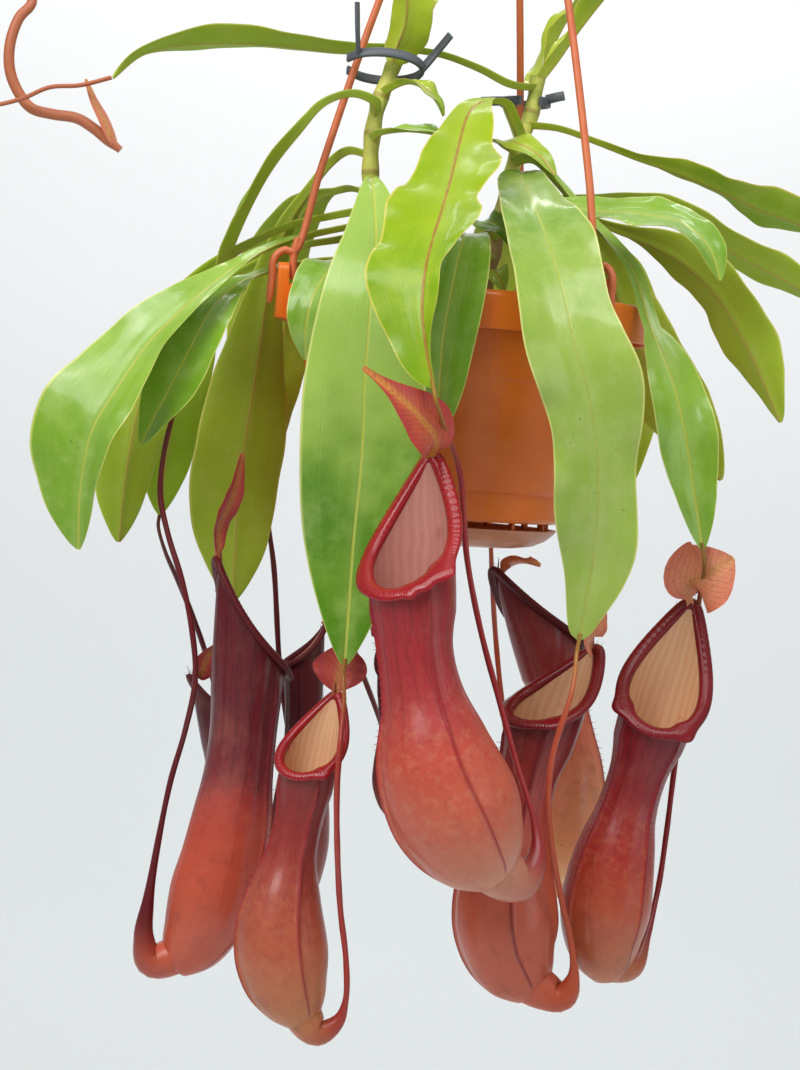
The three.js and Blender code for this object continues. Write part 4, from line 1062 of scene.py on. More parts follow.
def blade_grid(line, shape, t, sides):
    """Rings of points round a waved blade: over the top from one edge to the other, and back below."""
    centre, across, normal = blade_frame(line, t, shape)
    on_blade = np.maximum(0, (t - shape["bare"]) / (1 - shape["bare"]))[:, None]
    power = math.log(0.5) / math.log(shape["fullest"])
    swell = np.abs(np.sin(np.pi * on_blade ** power)) ** shape["strap"]
    strip = shape["stalk"] + (shape["tip"] - shape["stalk"]) * on_blade
    half = (strip + shape["wide"] * swell) / 2
    side = np.concatenate([sides, sides[-2:0:-1]])[None, :]
    out = np.abs(side)
    halves, drift, ruffle = (np.where(side > 0, shape[label][1], shape[label][0])
                             for label in ("halves", "drift", "ruffle"))
    turn = 2 * np.pi * shape["waves"] * on_blade + shape["phase"] + np.where(side > 0, 1.9, 0)
    ripple = np.sin(turn) + shape["crimp"] * np.sin(turn * 3.3 + side) * out
    spread = (halves + drift * (on_blade - 0.5)) * (1 + 2 * ruffle * on_blade * np.sin(turn))
    reach = side * (half + (spread - 1) * (half - strip / 2))
    lift = shape["keel"] * out * half + shape["wave"] * swell * out ** 1.6 * ripple
    # Long shallow grooves run beside the midrib, which is itself a narrow furrow on top.
    furrow = 0.42 * np.exp(-(reach / 1.3) ** 2) - 0.3 * swell * np.cos(np.clip(out * 9, 0, 7))
    rib = RIB_DEPTH - 1.5 * np.minimum(1, 1.6 * t)[:, None]
    under = SKIN_DEPTH * (1 - out ** 8) + (rib - 0.5) * np.exp(-(reach / 1.7) ** 2)
    below = np.arange(side.shape[1]) >= len(sides)
    depth = np.where(below, under, furrow)
    points = (centre[:, None] + across[:, None] * reach[..., None]
              + normal[:, None] * (lift - depth)[..., None])
    return points, side + 0 * reach, reach


def blade_skin(skin, line, shape, columns, rows, top=0, bottom=1, **numbers):
    """Add a blade to a skin. rows are the places along its line, and top and bottom its finishes."""
    sides = np.sin(np.linspace(-np.pi / 2, np.pi / 2, columns))
    points, side, reach = blade_grid(line, shape, rows, sides)
    points = np.array([pinched(points[0]), *points, pinched(points[-1])])
    side, reach = (np.vstack([v[:1], v, v[-1:]]) for v in (side, reach))
    along = np.concatenate([rows[:1], rows, rows[-1:]])[:, None]
    before, ring = len(skin.slots), points.shape[1]
    skin.sheet(points, top, around=True, side=side, reach=reach, along=along,
               run=along * line.length, **numbers)
    for face in range(before, len(skin.slots)):
        if (face - before) % ring >= columns - 1:
            skin.slots[face] = bottom


# %% A leaf on its stem
def on_stem(side, height):
    """The place on a stem's line that is nearest to a height."""
    line = STEM_LINES[side]
    points = line.point(line.places)
    return points[np.argmin(np.abs(points[:, 2] - height))]


LEAF_COLUMNS = 23
leaf_lines = {}


def leaf(name, stem_side, height, route, look="green", **shape):
    """A leaf from its place on a stem along a route of points in mm."""
    line = leaf_lines[name] = Line([on_stem(stem_side, height), *route])
    rows = np.linspace(1.5 / line.length, 1, max(30, int(line.length / 2.1)))
    skin = Skin()
    blade_skin(skin, line, {**LEAF_SHAPE, **shape}, LEAF_COLUMNS, rows,
               tone=random.Random(name).random())
    underside = LIME_UNDER if look in ("lime", "young") else LEAF_UNDER
    stands_for(skin.piece(f"{name}_blade", [LEAF_FINISHES[look], underside], 60), "leaf", name)


# %% Leaves in front
leaf("leaf_a", "right", -246, [
    (15, 10, -239), (9, -4, -232), (0, -12, -234), (-6, -24, -241), (-10, -46, -259), (-13, -72, -278),
    (-16, -92, -293), (-19, -108, -307), (-21, -120, -321), (-21, -127, -336), (-18, -131, -353),
    (-14, -133, -368)],
    look="lime", wide=33, stalk=7.5, bare=0.2, fullest=0.6, strap=0.7, halves=[0.95, 1.22],
    drift=[-2, 0.9], near=(0.2, 0.1, 1), far=(-0.25, -1, 0.35), wave=2.6, waves=4, phase=5.72,
    ruffle=[0.28, 0.05])
leaf("leaf_b", "right", -263, [
    (21, 2, -263), (20, -26, -269), (24, -52, -281), (31, -78, -300), (38, -98, -322), (45, -107, -347),
    (52, -106, -367), (57, -102, -388), (60, -96, -413), (60, -90, -438), (57, -86, -471)],
    look="grey", wide=39, bare=0.1, fullest=0.56, strap=0.5, near=(0, -0.3, 1), far=(0.1, -1, 0.15),
    wave=3, waves=3.5, phase=1.2, ruffle=[0.1, 0.08])
leaf("leaf_c", "left", -272, [
    (-47, -44, -277), (-43, -76, -305), (-43, -94, -332), (-43, -98, -366), (-42, -96, -400),
    (-43, -92, -434), (-43, -90, -464), (-43, -90, -489)],
    look="deep", wide=50, bare=0.08, fullest=0.58, near=(0, -0.3, 1), far=(0, -1, 0.1), keel=0.1, wave=2,
    phase=2)
print("leaves", len(leaf_lines))

# %% Leaves at the left
leaf("leaf_left_top", "right", -219, [
    (12, 22, -220), (-2, 16, -215), (-21, 14, -210), (-40, 16, -209), (-62, 20, -211), (-87, 18, -211),
    (-114, 12, -212), (-141, 4, -216), (-158, -4, -223), (-170, -8, -235)],
    wide=21, fullest=0.6, far=(-0.1, 0.3, 1), wave=1.2, waves=2, keel=0.2)
leaf("leaf_left_arch", "left", -245, [
    (-50, -30, -239), (-59, -34, -237), (-71, -36, -242), (-82, -30, -255), (-94, -24, -272),
    (-104, -18, -293), (-112, -14, -317), (-118, -12, -339), (-123, -14, -357), (-126, -18, -373)],
    wide=18, bare=0.25, fullest=0.55, far=(-1, -0.1, 0.3), wave=1, keel=0.35)
leaf("leaf_left_big", "left", -292, [
    (-64, -8, -296), (-81, -1, -301), (-95, -20, -309), (-108, -42, -321), (-123, -58, -337),
    (-138, -66, -355), (-150, -72, -376), (-160, -74, -396), (-164, -70, -423), (-164, -64, -449)],
    wide=46, bare=0.22, fullest=0.72, halves=[0.55, 1.15], near=(0, -0.2, 1), far=(-0.5, -1, 0.2),
    wave=2.4, phase=1)
leaf("leaf_left_olive", "left", -286, [
    (-66, -6, -290), (-84, 0, -295), (-105, 2, -307), (-124, 0, -326), (-138, -4, -353), (-147, -8, -381),
    (-151, -12, -414), (-152, -14, -447)],
    look="olive", wide=32, bare=0.25, fullest=0.66, far=(-0.5, 1, 0.2))
leaf("leaf_left_inner", "left", -297, [
    (-61, 12, -299), (-84, 36, -304), (-107, 42, -320), (-124, 32, -342), (-132, 20, -371),
    (-135, 12, -404), (-136, 8, -434)],
    look="olive", wide=30, bare=0.25, fullest=0.68, far=(-0.4, 1, 0.2), phase=1)
leaf("leaf_left_low", "left", -309, [
    (-59, -14, -310), (-76, -5, -312), (-91, -10, -317), (-104, -26, -325), (-114, -40, -337),
    (-121, -52, -355), (-129, -54, -374), (-136, -52, -389), (-141, -50, -401)],
    wide=26, bare=0.4, fullest=0.55, far=(-0.4, -1, 0.3), wave=1.6)
leaf("leaf_left_long", "left", -262, [
    (-59, -10, -260), (-68, 0, -266), (-77, 8, -278), (-86, 15, -293), (-92, 23, -313), (-95, 24, -332),
    (-96, 20, -352), (-98, 8, -385), (-100, 0, -420), (-99, -8, -452), (-98, -12, -471)],
    look="olive", wide=44, bare=0.15, fullest=0.7, near=(-0.2, 0.4, 1), far=(-0.5, 1, 0.1), phase=0.6)
leaf("leaf_left_behind", "left", -317, [
    (-50, 6, -315), (-64, 27, -313), (-76, 46, -317), (-85, 60, -331), (-88, 58, -353), (-88, 42, -382),
    (-88, 26, -409)],
    look="olive", wide=28, bare=0.2, far=(-0.5, 1, 0.1))
leaf("leaf_left_pale", "left", -313, [
    (-52, -36, -313), (-63, -58, -319), (-69, -68, -332), (-71, -68, -346), (-70, -64, -359)],
    wide=21, bare=0.25, fullest=0.45, far=(-0.4, -1, 0.3), wave=1.4)
print("leaves", len(leaf_lines))

# %% The dark leaf behind the front ones, and the leaves at the right
leaf("leaf_front_dark", "right", -303, [
    (2, -14, -300), (-2, -44, -297), (-5, -68, -301), (-8, -86, -319), (-11, -90, -346), (-11, -88, -372),
    (-12, -84, -392)],
    wide=26, bare=0.2, fullest=0.6, far=(0, -1, 0.25))
leaf("leaf_right_spoon", "right", -288, [
    (16, -16, -285), (26, -28, -282), (41, -34, -281), (57, -37, -282), (74, -48, -283), (91, -60, -287),
    (102, -66, -297), (108, -68, -311)],
    wide=26, fullest=0.6, near=(0, -0.3, 1), far=(0.5, -0.8, 0.7), wave=1.6, keel=0.1)
leaf("leaf_right_drooping", "right", -283, [
    (31, 14, -278), (49, 12, -280), (68, 4, -287), (90, -6, -296), (111, -14, -312), (127, -18, -334),
    (139, -20, -356), (146, -20, -370)],
    look="olive", wide=30, bare=0.25, fullest=0.6, far=(0.8, 0.9, 0.6))
leaf("leaf_right_top", "right", -237, [
    (38, 22, -239), (56, 16, -245), (75, 10, -252), (94, 4, -258), (112, -2, -265), (130, -8, -273),
    (149, -12, -279), (167, -16, -288), (182, -18, -300)],
    look="young", wide=26, bare=0.2, fullest=0.65, far=(0.4, 0.5, 1), waves=3)
leaf("leaf_right_far", "right", -279, [
    (22, 50, -271), (42, 56, -269), (66, 58, -268), (91, 58, -272), (110, 56, -279), (130, 54, -290),
    (150, 52, -299), (170, 50, -310), (186, 50, -323)],
    wide=24, bare=0.15, fullest=0.6, far=(0.3, 0.6, 1))
leaf("leaf_right_olive", "right", -270, [
    (31, 40, -267), (47, 44, -276), (62, 48, -293), (74, 52, -316), (87, 54, -340), (104, 52, -365),
    (119, 48, -384), (129, 46, -399)],
    look="olive", wide=36, bare=0.2, fullest=0.6, far=(0.4, 1, 0.4))
leaf("leaf_right_folded", "right", -256, [
    (27, 12, -256), (39, 2, -268), (50, -8, -281), (63, -18, -294), (73, -32, -308), (81, -46, -332),
    (91, -54, -354), (98, -60, -377), (104, -62, -403), (110, -62, -429)],
    wide=22, bare=0.57, stalk=8, near=(0.2, 0, 1), far=(0.15, -1, 0.2), keel=0.25, wave=1.5)
print("leaves", len(leaf_lines))

# %% Small leaves over the soil
leaf("leaf_small_arch", "left", -234, [
    (-40, -26, -231), (-33, -32, -230), (-25, -34, -234), (-20, -33, -239), (-17, -31, -244)],
    look="young", wide=11, wave=0.8, far=(0.5, -0.5, 1))
leaf("leaf_small_middle", "left", -255, [
    (-44, -34, -253), (-35, -38, -252), (-26, -35, -252), (-15, -28, -253), (-5, -16, -255)],
    wide=8, wave=0.8, far=(0, -0.6, 1))
leaf("leaf_small_right", "right", -251, [
    (10, 12, -249), (14, -2, -250), (22, -14, -254), (29, -20, -259), (35, -22, -266)],
    look="young", wide=11, bare=0.15, wave=0.8, far=(-0.2, -0.7, 1))
leaf("leaf_soil_pale", "right", -293, [
    (4, -22, -289), (11, -36, -292), (16, -43, -298), (20, -44, -305)],
    wide=8, bare=0.2, wave=0.6)
leaf("leaf_soil_yellow", "right", -311, [
    (10, 6, -309), (12, -5, -311), (16, -14, -319)],
    look="young", wide=9, bare=0.15, wave=0.6)
print("leaves", len(leaf_lines))

# %% Leaves at the crown and at the back
leaf("leaf_crown_left", "left", -224, [
    (-40, -16, -213), (-37, -24, -203), (-38, -32, -188), (-43, -36, -170), (-51, -36, -150)],
    look="young", wide=17, bare=0.05, fullest=0.35, keel=0.5, near=(0.3, 1, 0), far=(0.5, 1, 0.4))
leaf("leaf_crown_left_back", "left", -227, [
    (-39, -5, -218), (-35, 3, -205), (-30, 9, -187), (-26, 13, -170), (-18, 13, -155)],
    look="young", wide=16, bare=0.1, fullest=0.4, keel=0.5, near=(-0.5, -1, 0), far=(-0.5, -1, 0.4))
leaf("leaf_crown_right", "right", -216, [
    (33, 36, -206), (43, 38, -190), (57, 37, -171), (73, 34, -155), (87, 28, -144)],
    look="young", wide=14, bare=0.05, stalk=7, keel=0.5, near=(-0.6, 0, 1), far=(-0.5, 0, 1))
leaf("leaf_crown_right_back", "right", -222, [
    (26, 48, -215), (31, 55, -199), (38, 60, -183), (49, 63, -166), (55, 63, -147)],
    look="young", wide=11, bare=0.05, stalk=6, keel=0.5, near=(-0.6, 0, 1), far=(-0.7, 0, 1))
leaf("leaf_back_left", "left", -279, [
    (-60, 16, -275), (-80, 50, -283), (-95, 85, -312), (-100, 100, -360), (-100, 104, -410)],
    wide=34, bare=0.2, fullest=0.55, far=(-0.4, 1, 0.2))
leaf("leaf_back_middle", "left", -301, [
    (-38, 20, -296), (-40, 60, -296), (-48, 98, -308), (-54, 116, -345), (-55, 120, -395)],
    wide=34, bare=0.2, fullest=0.55, far=(0, 1, 0.2), phase=1)
leaf("leaf_back_right", "right", -291, [
    (11, 60, -284), (14, 95, -286), (21, 118, -314), (23, 126, -360), (21, 124, -408)],
    wide=36, bare=0.2, fullest=0.55, far=(0, 1, 0.2), phase=2)
leaf("leaf_back_far_right", "right", -286, [
    (36, 58, -282), (66, 88, -293), (83, 108, -322), (90, 116, -365), (92, 116, -405)],
    wide=30, bare=0.2, fullest=0.55, far=(0.4, 1, 0.2), phase=0.5)
print("leaves", len(leaf_lines))

# %% [markdown]
# ## The pitchers
#
# Each pitcher is the swollen end of a leaf's tendril: a round bulb, a waist, and a neck that
# opens in a slanting mouth. A glossy ribbed lip rolls over the mouth's edge, a lid stands on
# its highest point with a bristle behind it, and two low wings run down the front. The cup
# is a stack of rings along its own line. The lip is swept round the mouth with a rolled
# section, so that it catches the light as one wet-looking band.

# %% Cup finish
def cup_finish(name, stops, vein, vein_share, wing, at_leaf, at_cup):
    """stops are the colours from the bulb to the mouth, vein_share is how strong its veins are, and
    the last two are the tendril's colours. The tendril fades into the bulb."""
    finish = Finish(name, subsurface_weight=0.1, subsurface_scale=0.002,
                    subsurface_radius=(1, 0.35, 0.2), ior=1.42, coat_roughness=0.17)
    along, angle = finish.read("along"), finish.read("angle")
    cloud = finish.noise(42, 3, 0.55)
    fine = finish.noise(340, 4, 0.65)
    base = finish.ramp(along + (cloud - 0.5) * 0.16, stops)
    base = finish.mix(finish.patches(95, 4, 0.6, 0.5, 0.75, 0.3), base, stops[-1][1])
    neck = finish.smooth(along + (cloud - 0.5) * 0.2, 0.42, 0.74)
    mottle = finish.patches(260, 5, 0.7, 0.44, 0.7, 0.35)
    base = finish.mix(mottle * (1 - neck * 0.92), base, stops[0][1])
    # Veins run up the cup, wander a little and fork towards the mouth.
    wander = (finish.noise(26, 3) - 0.5) * 0.09 + (finish.noise(90, 2) - 0.5) * 0.03
    lines = finish.off_line((angle + wander) * 15.0)
    forked = finish.off_line((angle - wander + along * 0.05) * 30.0)
    forks = finish.smooth(forked, 0.2, 0.0) * finish.smooth(along, 0.45, 0.8, 0.8)
    veins = finish.smooth(lines, 0.16, 0.0) + forks
    veins = finish.math("MINIMUM", veins, 1.0) * finish.smooth(fine, 0.15, 0.6)
    veined = finish.mix(veins * (neck * vein_share * 0.6 + 0.06 * vein_share), base, vein)
    winged = finish.mix(finish.smooth(finish.read("wing"), 0.2, 1.0, 0.75), veined, wing)
    freckled = finish.mix(finish.patches(230, 3, 0.7, 0.66, 0.75) * 0.35, winged, vein)
    bloom = finish.mix(finish.patches(30, 4, 0.7, 0.5, 0.8, 0.14), freckled, (216, 150, 120))
    down = finish.smooth(finish.read("down") + (cloud - 0.5) * 0.1, 0.0, 0.22)
    thread = finish.mix(down, at_leaf, at_cup)
    finish.feed("Base Color", finish.mix(finish.read("thread"), bloom, thread))
    finish.feed("Roughness", 0.3 + cloud * 0.15 + fine * 0.08)
    finish.feed("Coat Weight", finish.patches(20, 2, 0.5, 0.3, 0.7, 0.65))
    # The neck is fluted a little, as a thin skin that dried in long folds.
    flutes = finish.math("SINE", (angle + wander) * 88.0) * neck
    finish.bump(veins * 0.5 + fine * 0.4 + cloud * 1.0 + flutes * 0.6, 0.35, 0.0005)
    return finish


# %% Finishes of the lip, the inside, the lid and the hairs
def lip_finish(name, body, ridge, dark, wet=0.6, rough=0.24):
    """Fine ribs cross the lip. wet is the weight of its glossy coat."""
    finish = Finish(name, ior=1.35, coat_weight=wet, coat_roughness=0.08)
    rib = finish.swell(finish.read("rib") * 8.2 + (finish.noise(60, 2) - 0.5) * 1.2)
    cloud = finish.noise(60, 3)
    tone = finish.mix(cloud, body, dark)
    # The rib crests are painted in the lighter ridge colour, and the grooves between them keep the darker
    # tone: painted light on the crests and painted shade in the grooves.
    finish.feed("Base Color", finish.mix(finish.smooth(rib, 0.5, 1.0, 0.34), tone, ridge))
    finish.feed("Roughness", rough + cloud * 0.12)
    finish.bump(rib, 0.4, 0.0003)
    return finish


def lining(name, high, low, streak):
    finish = Finish(name, subsurface_weight=0.1, subsurface_scale=0.002, subsurface_radius=(1, 0.5, 0.3))
    along, angle = finish.read("along"), finish.read("angle")
    cloud = finish.noise(60, 4, 0.6)
    lines = finish.swell((angle + (cloud - 0.5) * 0.05) * 150)
    base = finish.mix(finish.smooth(along + (cloud - 0.5) * 0.2, 0.45, 0.95), low, high)
    streaks = lines * 0.22 + finish.smooth(cloud, 0.55, 0.75, 0.4)
    finish.feed("Base Color", finish.mix(streaks, base, streak))
    finish.feed("Roughness", 0.38 + cloud * 0.2)
    finish.bump(finish.noise(420, 2), 0.25, 0.0004)
    return finish


def lid_finish(name, centre, edge, fold, vein):
    finish = Finish(name, subsurface_weight=0.15, subsurface_scale=0.002, subsurface_radius=(1, 0.4, 0.2))
    side, reach, run = map(finish.read, ("side", "reach", "run"))
    cloud = finish.noise(110, 4, 0.6)
    branch = finish.off_line(run * 0.32 - abs(reach) * 0.36 + (cloud - 0.5) * 1.1)
    veins = finish.smooth(branch, 0.12, 0.0)
    base = finish.mix(finish.smooth(abs(side) + (cloud - 0.5) * 0.5, 0.2, 0.95), centre, edge)
    folded = finish.mix(finish.smooth(abs(reach) + (cloud - 0.5), 2.4, 0.6, 0.8), base, fold)
    speckle = finish.patches(420, 4, 0.7, 0.5, 0.7, 0.4)
    finish.feed("Base Color", finish.mix(veins * 0.4 + speckle, folded, vein))
    finish.feed("Roughness", 0.4 + cloud * 0.15)
    finish.feed("Coat Weight", finish.smooth(cloud, 0.35, 0.7, 0.3))
    finish.bump(veins * -0.6 + finish.noise(600, 2) * 0.6, 0.4, 0.0005)
    return finish


def thread_finish(name, near, far):
    finish = Finish(name, subsurface_weight=0.08, subsurface_scale=0.001)
    cloud = finish.noise(120, 3, 0.6)
    away = finish.smooth(finish.read("along") + (cloud - 0.5) * 0.3, 0.02, 0.75)
    finish.feed("Base Color", finish.mix(away, near, far))
    finish.feed("Roughness", 0.34 + cloud * 0.2)
    finish.bump(finish.noise(500, 3), 0.3, 0.0003)
    return finish


# %% Colours of each pitcher
# Stops from bulb to mouth, vein and its share, wing, and the tendril at the leaf and at the cup.
CUPS = {
    "front": ([(0.0, (208, 138, 108)), (0.22, (202, 98, 72)), (0.42, (194, 76, 58)),
               (0.58, (170, 52, 52)), (0.8, (164, 34, 42)), (1.0, (150, 22, 34))],
              (104, 12, 30), 0.6, (156, 22, 36), (168, 130, 50), (158, 40, 42)),
    "right": ([(0.0, (194, 114, 72)), (0.25, (182, 80, 52)), (0.45, (164, 46, 36)),
               (0.65, (138, 28, 32)), (0.85, (128, 20, 34)), (1.0, (112, 14, 28))],
              (80, 8, 24), 0.6, (124, 16, 30), (140, 110, 46), (140, 38, 36)),
    "brown": ([(0.0, (196, 96, 70)), (0.35, (190, 88, 62)), (0.65, (168, 62, 50)),
               (0.88, (128, 36, 38)), (1.0, (100, 24, 30))],
              (96, 20, 30), 0.6, (120, 26, 34), (176, 130, 56), (186, 78, 46)),
    "tan": ([(0.0, (246, 190, 126)), (0.3, (250, 172, 124)), (0.6, (228, 116, 82)),
             (0.85, (156, 50, 46)), (1.0, (116, 30, 36))],
            (120, 30, 36), 0.6, (140, 36, 40), (170, 122, 50), (180, 74, 44)),
    "left": ([(0.0, (198, 90, 62)), (0.35, (194, 80, 58)), (0.5, (176, 64, 54)),
              (0.58, (124, 38, 48)), (0.8, (110, 26, 36)), (1.0, (94, 16, 26))],
             (60, 8, 22), 0.7, (96, 16, 30), (118, 54, 40), (100, 18, 26)),
    "dark": ([(0.0, (158, 68, 50)), (0.35, (140, 50, 44)), (0.6, (104, 30, 38)),
              (1.0, (84, 20, 30))],
             (52, 8, 18), 0.6, (84, 16, 26), (118, 54, 40), (96, 20, 26)),
    "small": ([(0.0, (196, 124, 76)), (0.32, (182, 86, 60)), (0.62, (152, 50, 44)),
               (1.0, (124, 28, 34))],
              (136, 30, 40), 0.5, (150, 24, 34), (160, 110, 50), (168, 56, 46)),
}
LIPS = {
    "crimson": ((172, 6, 22), (206, 28, 42), (126, 2, 14)),
    "deep": ((132, 6, 20), (166, 24, 38), (92, 2, 14), 0.4),
    "dark": ((100, 8, 18), (138, 30, 38), (62, 2, 10), 0.1, 0.5),
}
INSIDES = {
    "pink": ((204, 142, 128), (150, 96, 88), (172, 78, 76)),
    "tan": ((230, 186, 142), (194, 130, 98), (206, 88, 76)),
}
LIDS = {
    "salmon": ((204, 94, 64), (186, 62, 52), (214, 146, 62), (160, 38, 38)),
    "orange": ((236, 158, 116), (228, 134, 102), (222, 158, 96), (184, 74, 60)),
    "red": ((190, 80, 64), (170, 54, 52), (196, 130, 72), (140, 26, 34)),
}
PARTS = ("cup", "lip", "inside", "lid")
PITCHER_FINISHES = {
    f"{part}_{name}": make(f"{part}_{name}", *row)
    for part, make, table in zip(PARTS, (cup_finish, lip_finish, lining, lid_finish),
                                 (CUPS, LIPS, INSIDES, LIDS))
    for name, row in table.items()}

WATER = Finish("clear_drop", transmission_weight=1.0, ior=1.33, base_color=(1, 1, 1, 1))
WATER.feed("Roughness", WATER.noise(90, 2) * 0.03)
HAIR = thread_finish("hair_brown", (140, 60, 40), (90, 30, 26))
BUD_TENDRIL = thread_finish("tendril_bud", (176, 96, 60), (182, 104, 68))
print("pitcher finishes", len(PITCHER_FINISHES) + 3)

# %% [markdown]
# ### The shape of a pitcher
#
# A ring of points is set square to the cup's line. Towards the mouth the back of each ring
# climbs, so that the mouth slants, and two narrow ridges in front are the wings. The inside
# is a second stack of rings, one wall's thickness further in.

# %% Cup shape
TENDRIL_RADIUS = 1.3
PITCHER_WALL = 1.4
WING_TURNS = (4 / 11, 7 / 11)
WING_HEIGHT = 1.5
WING_WIDTH = 0.9
WING_COLUMNS = (-0.012, -0.007, -0.0035, 0, 0.0035, 0.007, 0.012)
LIP = 3.6
LIP_COLUMNS = 260
CAVITY_FLOOR = 0.24
TAIL = 0.42
COLLAR = 0.93
ALONG_SHARE = 0.9
OUTLINE_LENGTH = 90
# Each row: the place along the cup, and the shares of the bulb's, the waist's and the mouth's radius.
CUP_OUTLINE = [(0, 0.3, 0, 0), (0.02, 0.42, 0, 0), (0.09, 0.72, 0, 0), (0.26, 1, 0, 0), (0.4, 0.97, 0, 0),
               (0.53, 0.6, 0.4, 0), (0.66, 0.15, 0.85, 0), (0.82, 0, 0.9, 0.1), (1, 0, 0, 1)]


def cup_radius(t, shape):
    rows = Line([(place * OUTLINE_LENGTH, shape["bulb"] * a + shape["waist"] * b + shape["mouth"] * c, 0)
                 for place, a, b, c in CUP_OUTLINE]).point(np.linspace(0, 1, 241))
    return np.interp(np.asarray(t) * OUTLINE_LENGTH, rows[:, 0], rows[:, 1])


def cup_angles():
    """Places round the cup, from 0 to 1 from the back, closer together at the two wings."""
    plain = list(np.linspace(0, 1, 60, endpoint=False))
    return np.array(sorted(plain + [wing + step for wing in WING_TURNS for step in WING_COLUMNS]))


def cup_ring(line, t, radius, shape, around, climb=0.0, wings=0.0, drop=0.0):
    """One ring, and how much of a wing each of its points is."""
    heading = line.heading_at(t)[0]
    rear = np.array(shape["back"], float)
    rear = unit(rear - heading * rear.dot(heading))
    side = np.cross(heading, rear)
    angle = 2 * np.pi * around
    ridge = sum(np.exp(-(np.abs(around - wing) * 2 * np.pi * radius / WING_WIDTH) ** 2)
                for wing in WING_TURNS)
    reach = radius + wings * ridge
    towards_back = (1 + np.cos(angle)) / 2
    height = climb * (0.62 * towards_back + 0.38 * towards_back ** 4)
    pinch = 1 - 0.5 * height ** 2
    ring = (line.at(t)[0] + rear * (reach * np.cos(angle))[:, None]
            + side * (reach * np.sin(angle) * pinch)[:, None]
            + heading * (shape["rise"] * height - drop)[:, None])
    return ring, ridge


def place_on_cup(line, t, radius, shape, around, climb=0.0):
    return cup_ring(line, t, radius, shape, np.array([around]), climb=climb)[0][0]


def collar_along(s):
    return ALONG_SHARE * COLLAR + (1 - ALONG_SHARE * COLLAR) * s


# %% Skins of the cup and of its inside
def cup_skin(skin, line, shape):
    around = cup_angles()
    rings, ridges, along = [], [], []
    for t in np.linspace(0.004, COLLAR, 56):
        ring, ridge = cup_ring(line, t, cup_radius(t, shape), shape, around,
                               wings=WING_HEIGHT * soft_step(t, 0.08, 0.2))
        rings.append(ring)
        ridges.append(ridge * soft_step(t, 0.01, 0.06))
        along.append(t * ALONG_SHARE)
    for s in np.linspace(0.08, 1, 14):
        t = COLLAR + (1 - COLLAR) * s
        ring, ridge = cup_ring(line, t, cup_radius(t, shape), shape, around, climb=s, drop=0.8 * s,
                               wings=WING_HEIGHT * (1 - s))
        rings.append(ring)
        ridges.append(ridge * (1 - s))
        along.append(collar_along(s))
    skin.sheet(np.array([pinched(rings[0]), *rings]), 0, around=True, angle=around[None, :],
               along=np.array([0, *along])[:, None], wing=np.array([ridges[0] * 0, *ridges]))


def lining_skin(skin, line, shape, slot):
    around = np.linspace(0, 1, 64, endpoint=False)
    collar = [(COLLAR + (1 - COLLAR) * s, dict(climb=s, drop=1.2), collar_along(s))
              for s in np.linspace(1, 0.08, 12)]
    body = [(t, {}, t * ALONG_SHARE) for t in np.linspace(COLLAR, CAVITY_FLOOR, 36)]
    rings = [cup_ring(line, t, cup_radius(t, shape) - PITCHER_WALL, shape, around, **mouth)[0]
             for t, mouth, _ in collar + body]
    along = [share for _, _, share in collar + body]
    skin.sheet(np.array([*rings, pinched(rings[-1])]), slot, around=True, turned=True,
               angle=around[None, :], along=np.array([*along, along[-1]])[:, None])


# %% The rolled lip
LIP_SECTION = [(-0.02, -1.7), (0.32, -1.5), (0.74, -1.45), (1.0, -0.95), (1.1, -0.1), (1.02, 0.7),
               (0.78, 1.3), (0.42, 1.65), (0.04, 1.5), (-0.26, 0.95), (-0.42, 0.1), (-0.46, -0.9),
               (-0.4, -2.0), (-0.24, -2.3), (-0.02, -1.7)]


def lip_skin(skin, line, shape, slot):
    """The rolled lip: its section is carried round the mouth's edge, wider where the mouth flares."""
    around = np.linspace(0, 1, LIP_COLUMNS, endpoint=False)
    edge, _ = cup_ring(line, 1, shape["mouth"], shape, around, climb=1)
    along = unit(np.roll(edge, -1, axis=0) - np.roll(edge, 1, axis=0))
    out = edge - edge.mean(axis=0)
    out = unit(out - along * (out * along).sum(axis=1)[:, None])
    up = np.cross(out, along)
    lip = LIP * shape["mouth"] / 16
    wide = np.full(LIP_COLUMNS, lip)
    for place, amount, spread in shape.get("flare", ()):
        gap = np.minimum(np.abs(around - place), 1 - np.abs(around - place))
        wide += lip * amount * np.exp(-(gap / spread) ** 2)
    run = np.concatenate([[0], np.cumsum(np.linalg.norm(np.diff(edge, axis=0), axis=1))])
    thick = min(1, shape["mouth"] / 14)
    teeth = 0.1 * np.sin(run * 5.4)
    rings = [edge + out * (a * wide)[:, None] + up * (b * thick + teeth * (b > 0))[:, None]
             for a, b in LIP_SECTION]
    skin.sheet(np.array(rings), slot, around=True, rib=run[None, :])


# %% Bristles, hairs and drops
LONG_HAIRS = 9
BRISTLE = (0, 0, 7)


def fringe(skin, line, shape, slot, seed):
    """Short bristles along the upper part of both wings."""
    source = random.Random(seed)
    for wing in WING_TURNS:
        for t in np.arange(0.5, 0.92, 2.6 / line.length):
            radius = float(cup_radius(t, shape)) + WING_HEIGHT
            root = place_on_cup(line, t, radius - 0.5, shape, wing)
            out = unit(root - line.at(t)[0])
            tip = root + out * source.uniform(1.4, 2.6) + line.heading_at(t)[0] * source.uniform(-0.8, 0.4)
            skin.tube(Line([root, (root + tip) / 2 + (0, 0, 0.15), tip]), taper(0.2, 0.8), 3, 5, slot,
                      angle=wing, wing=1.0)


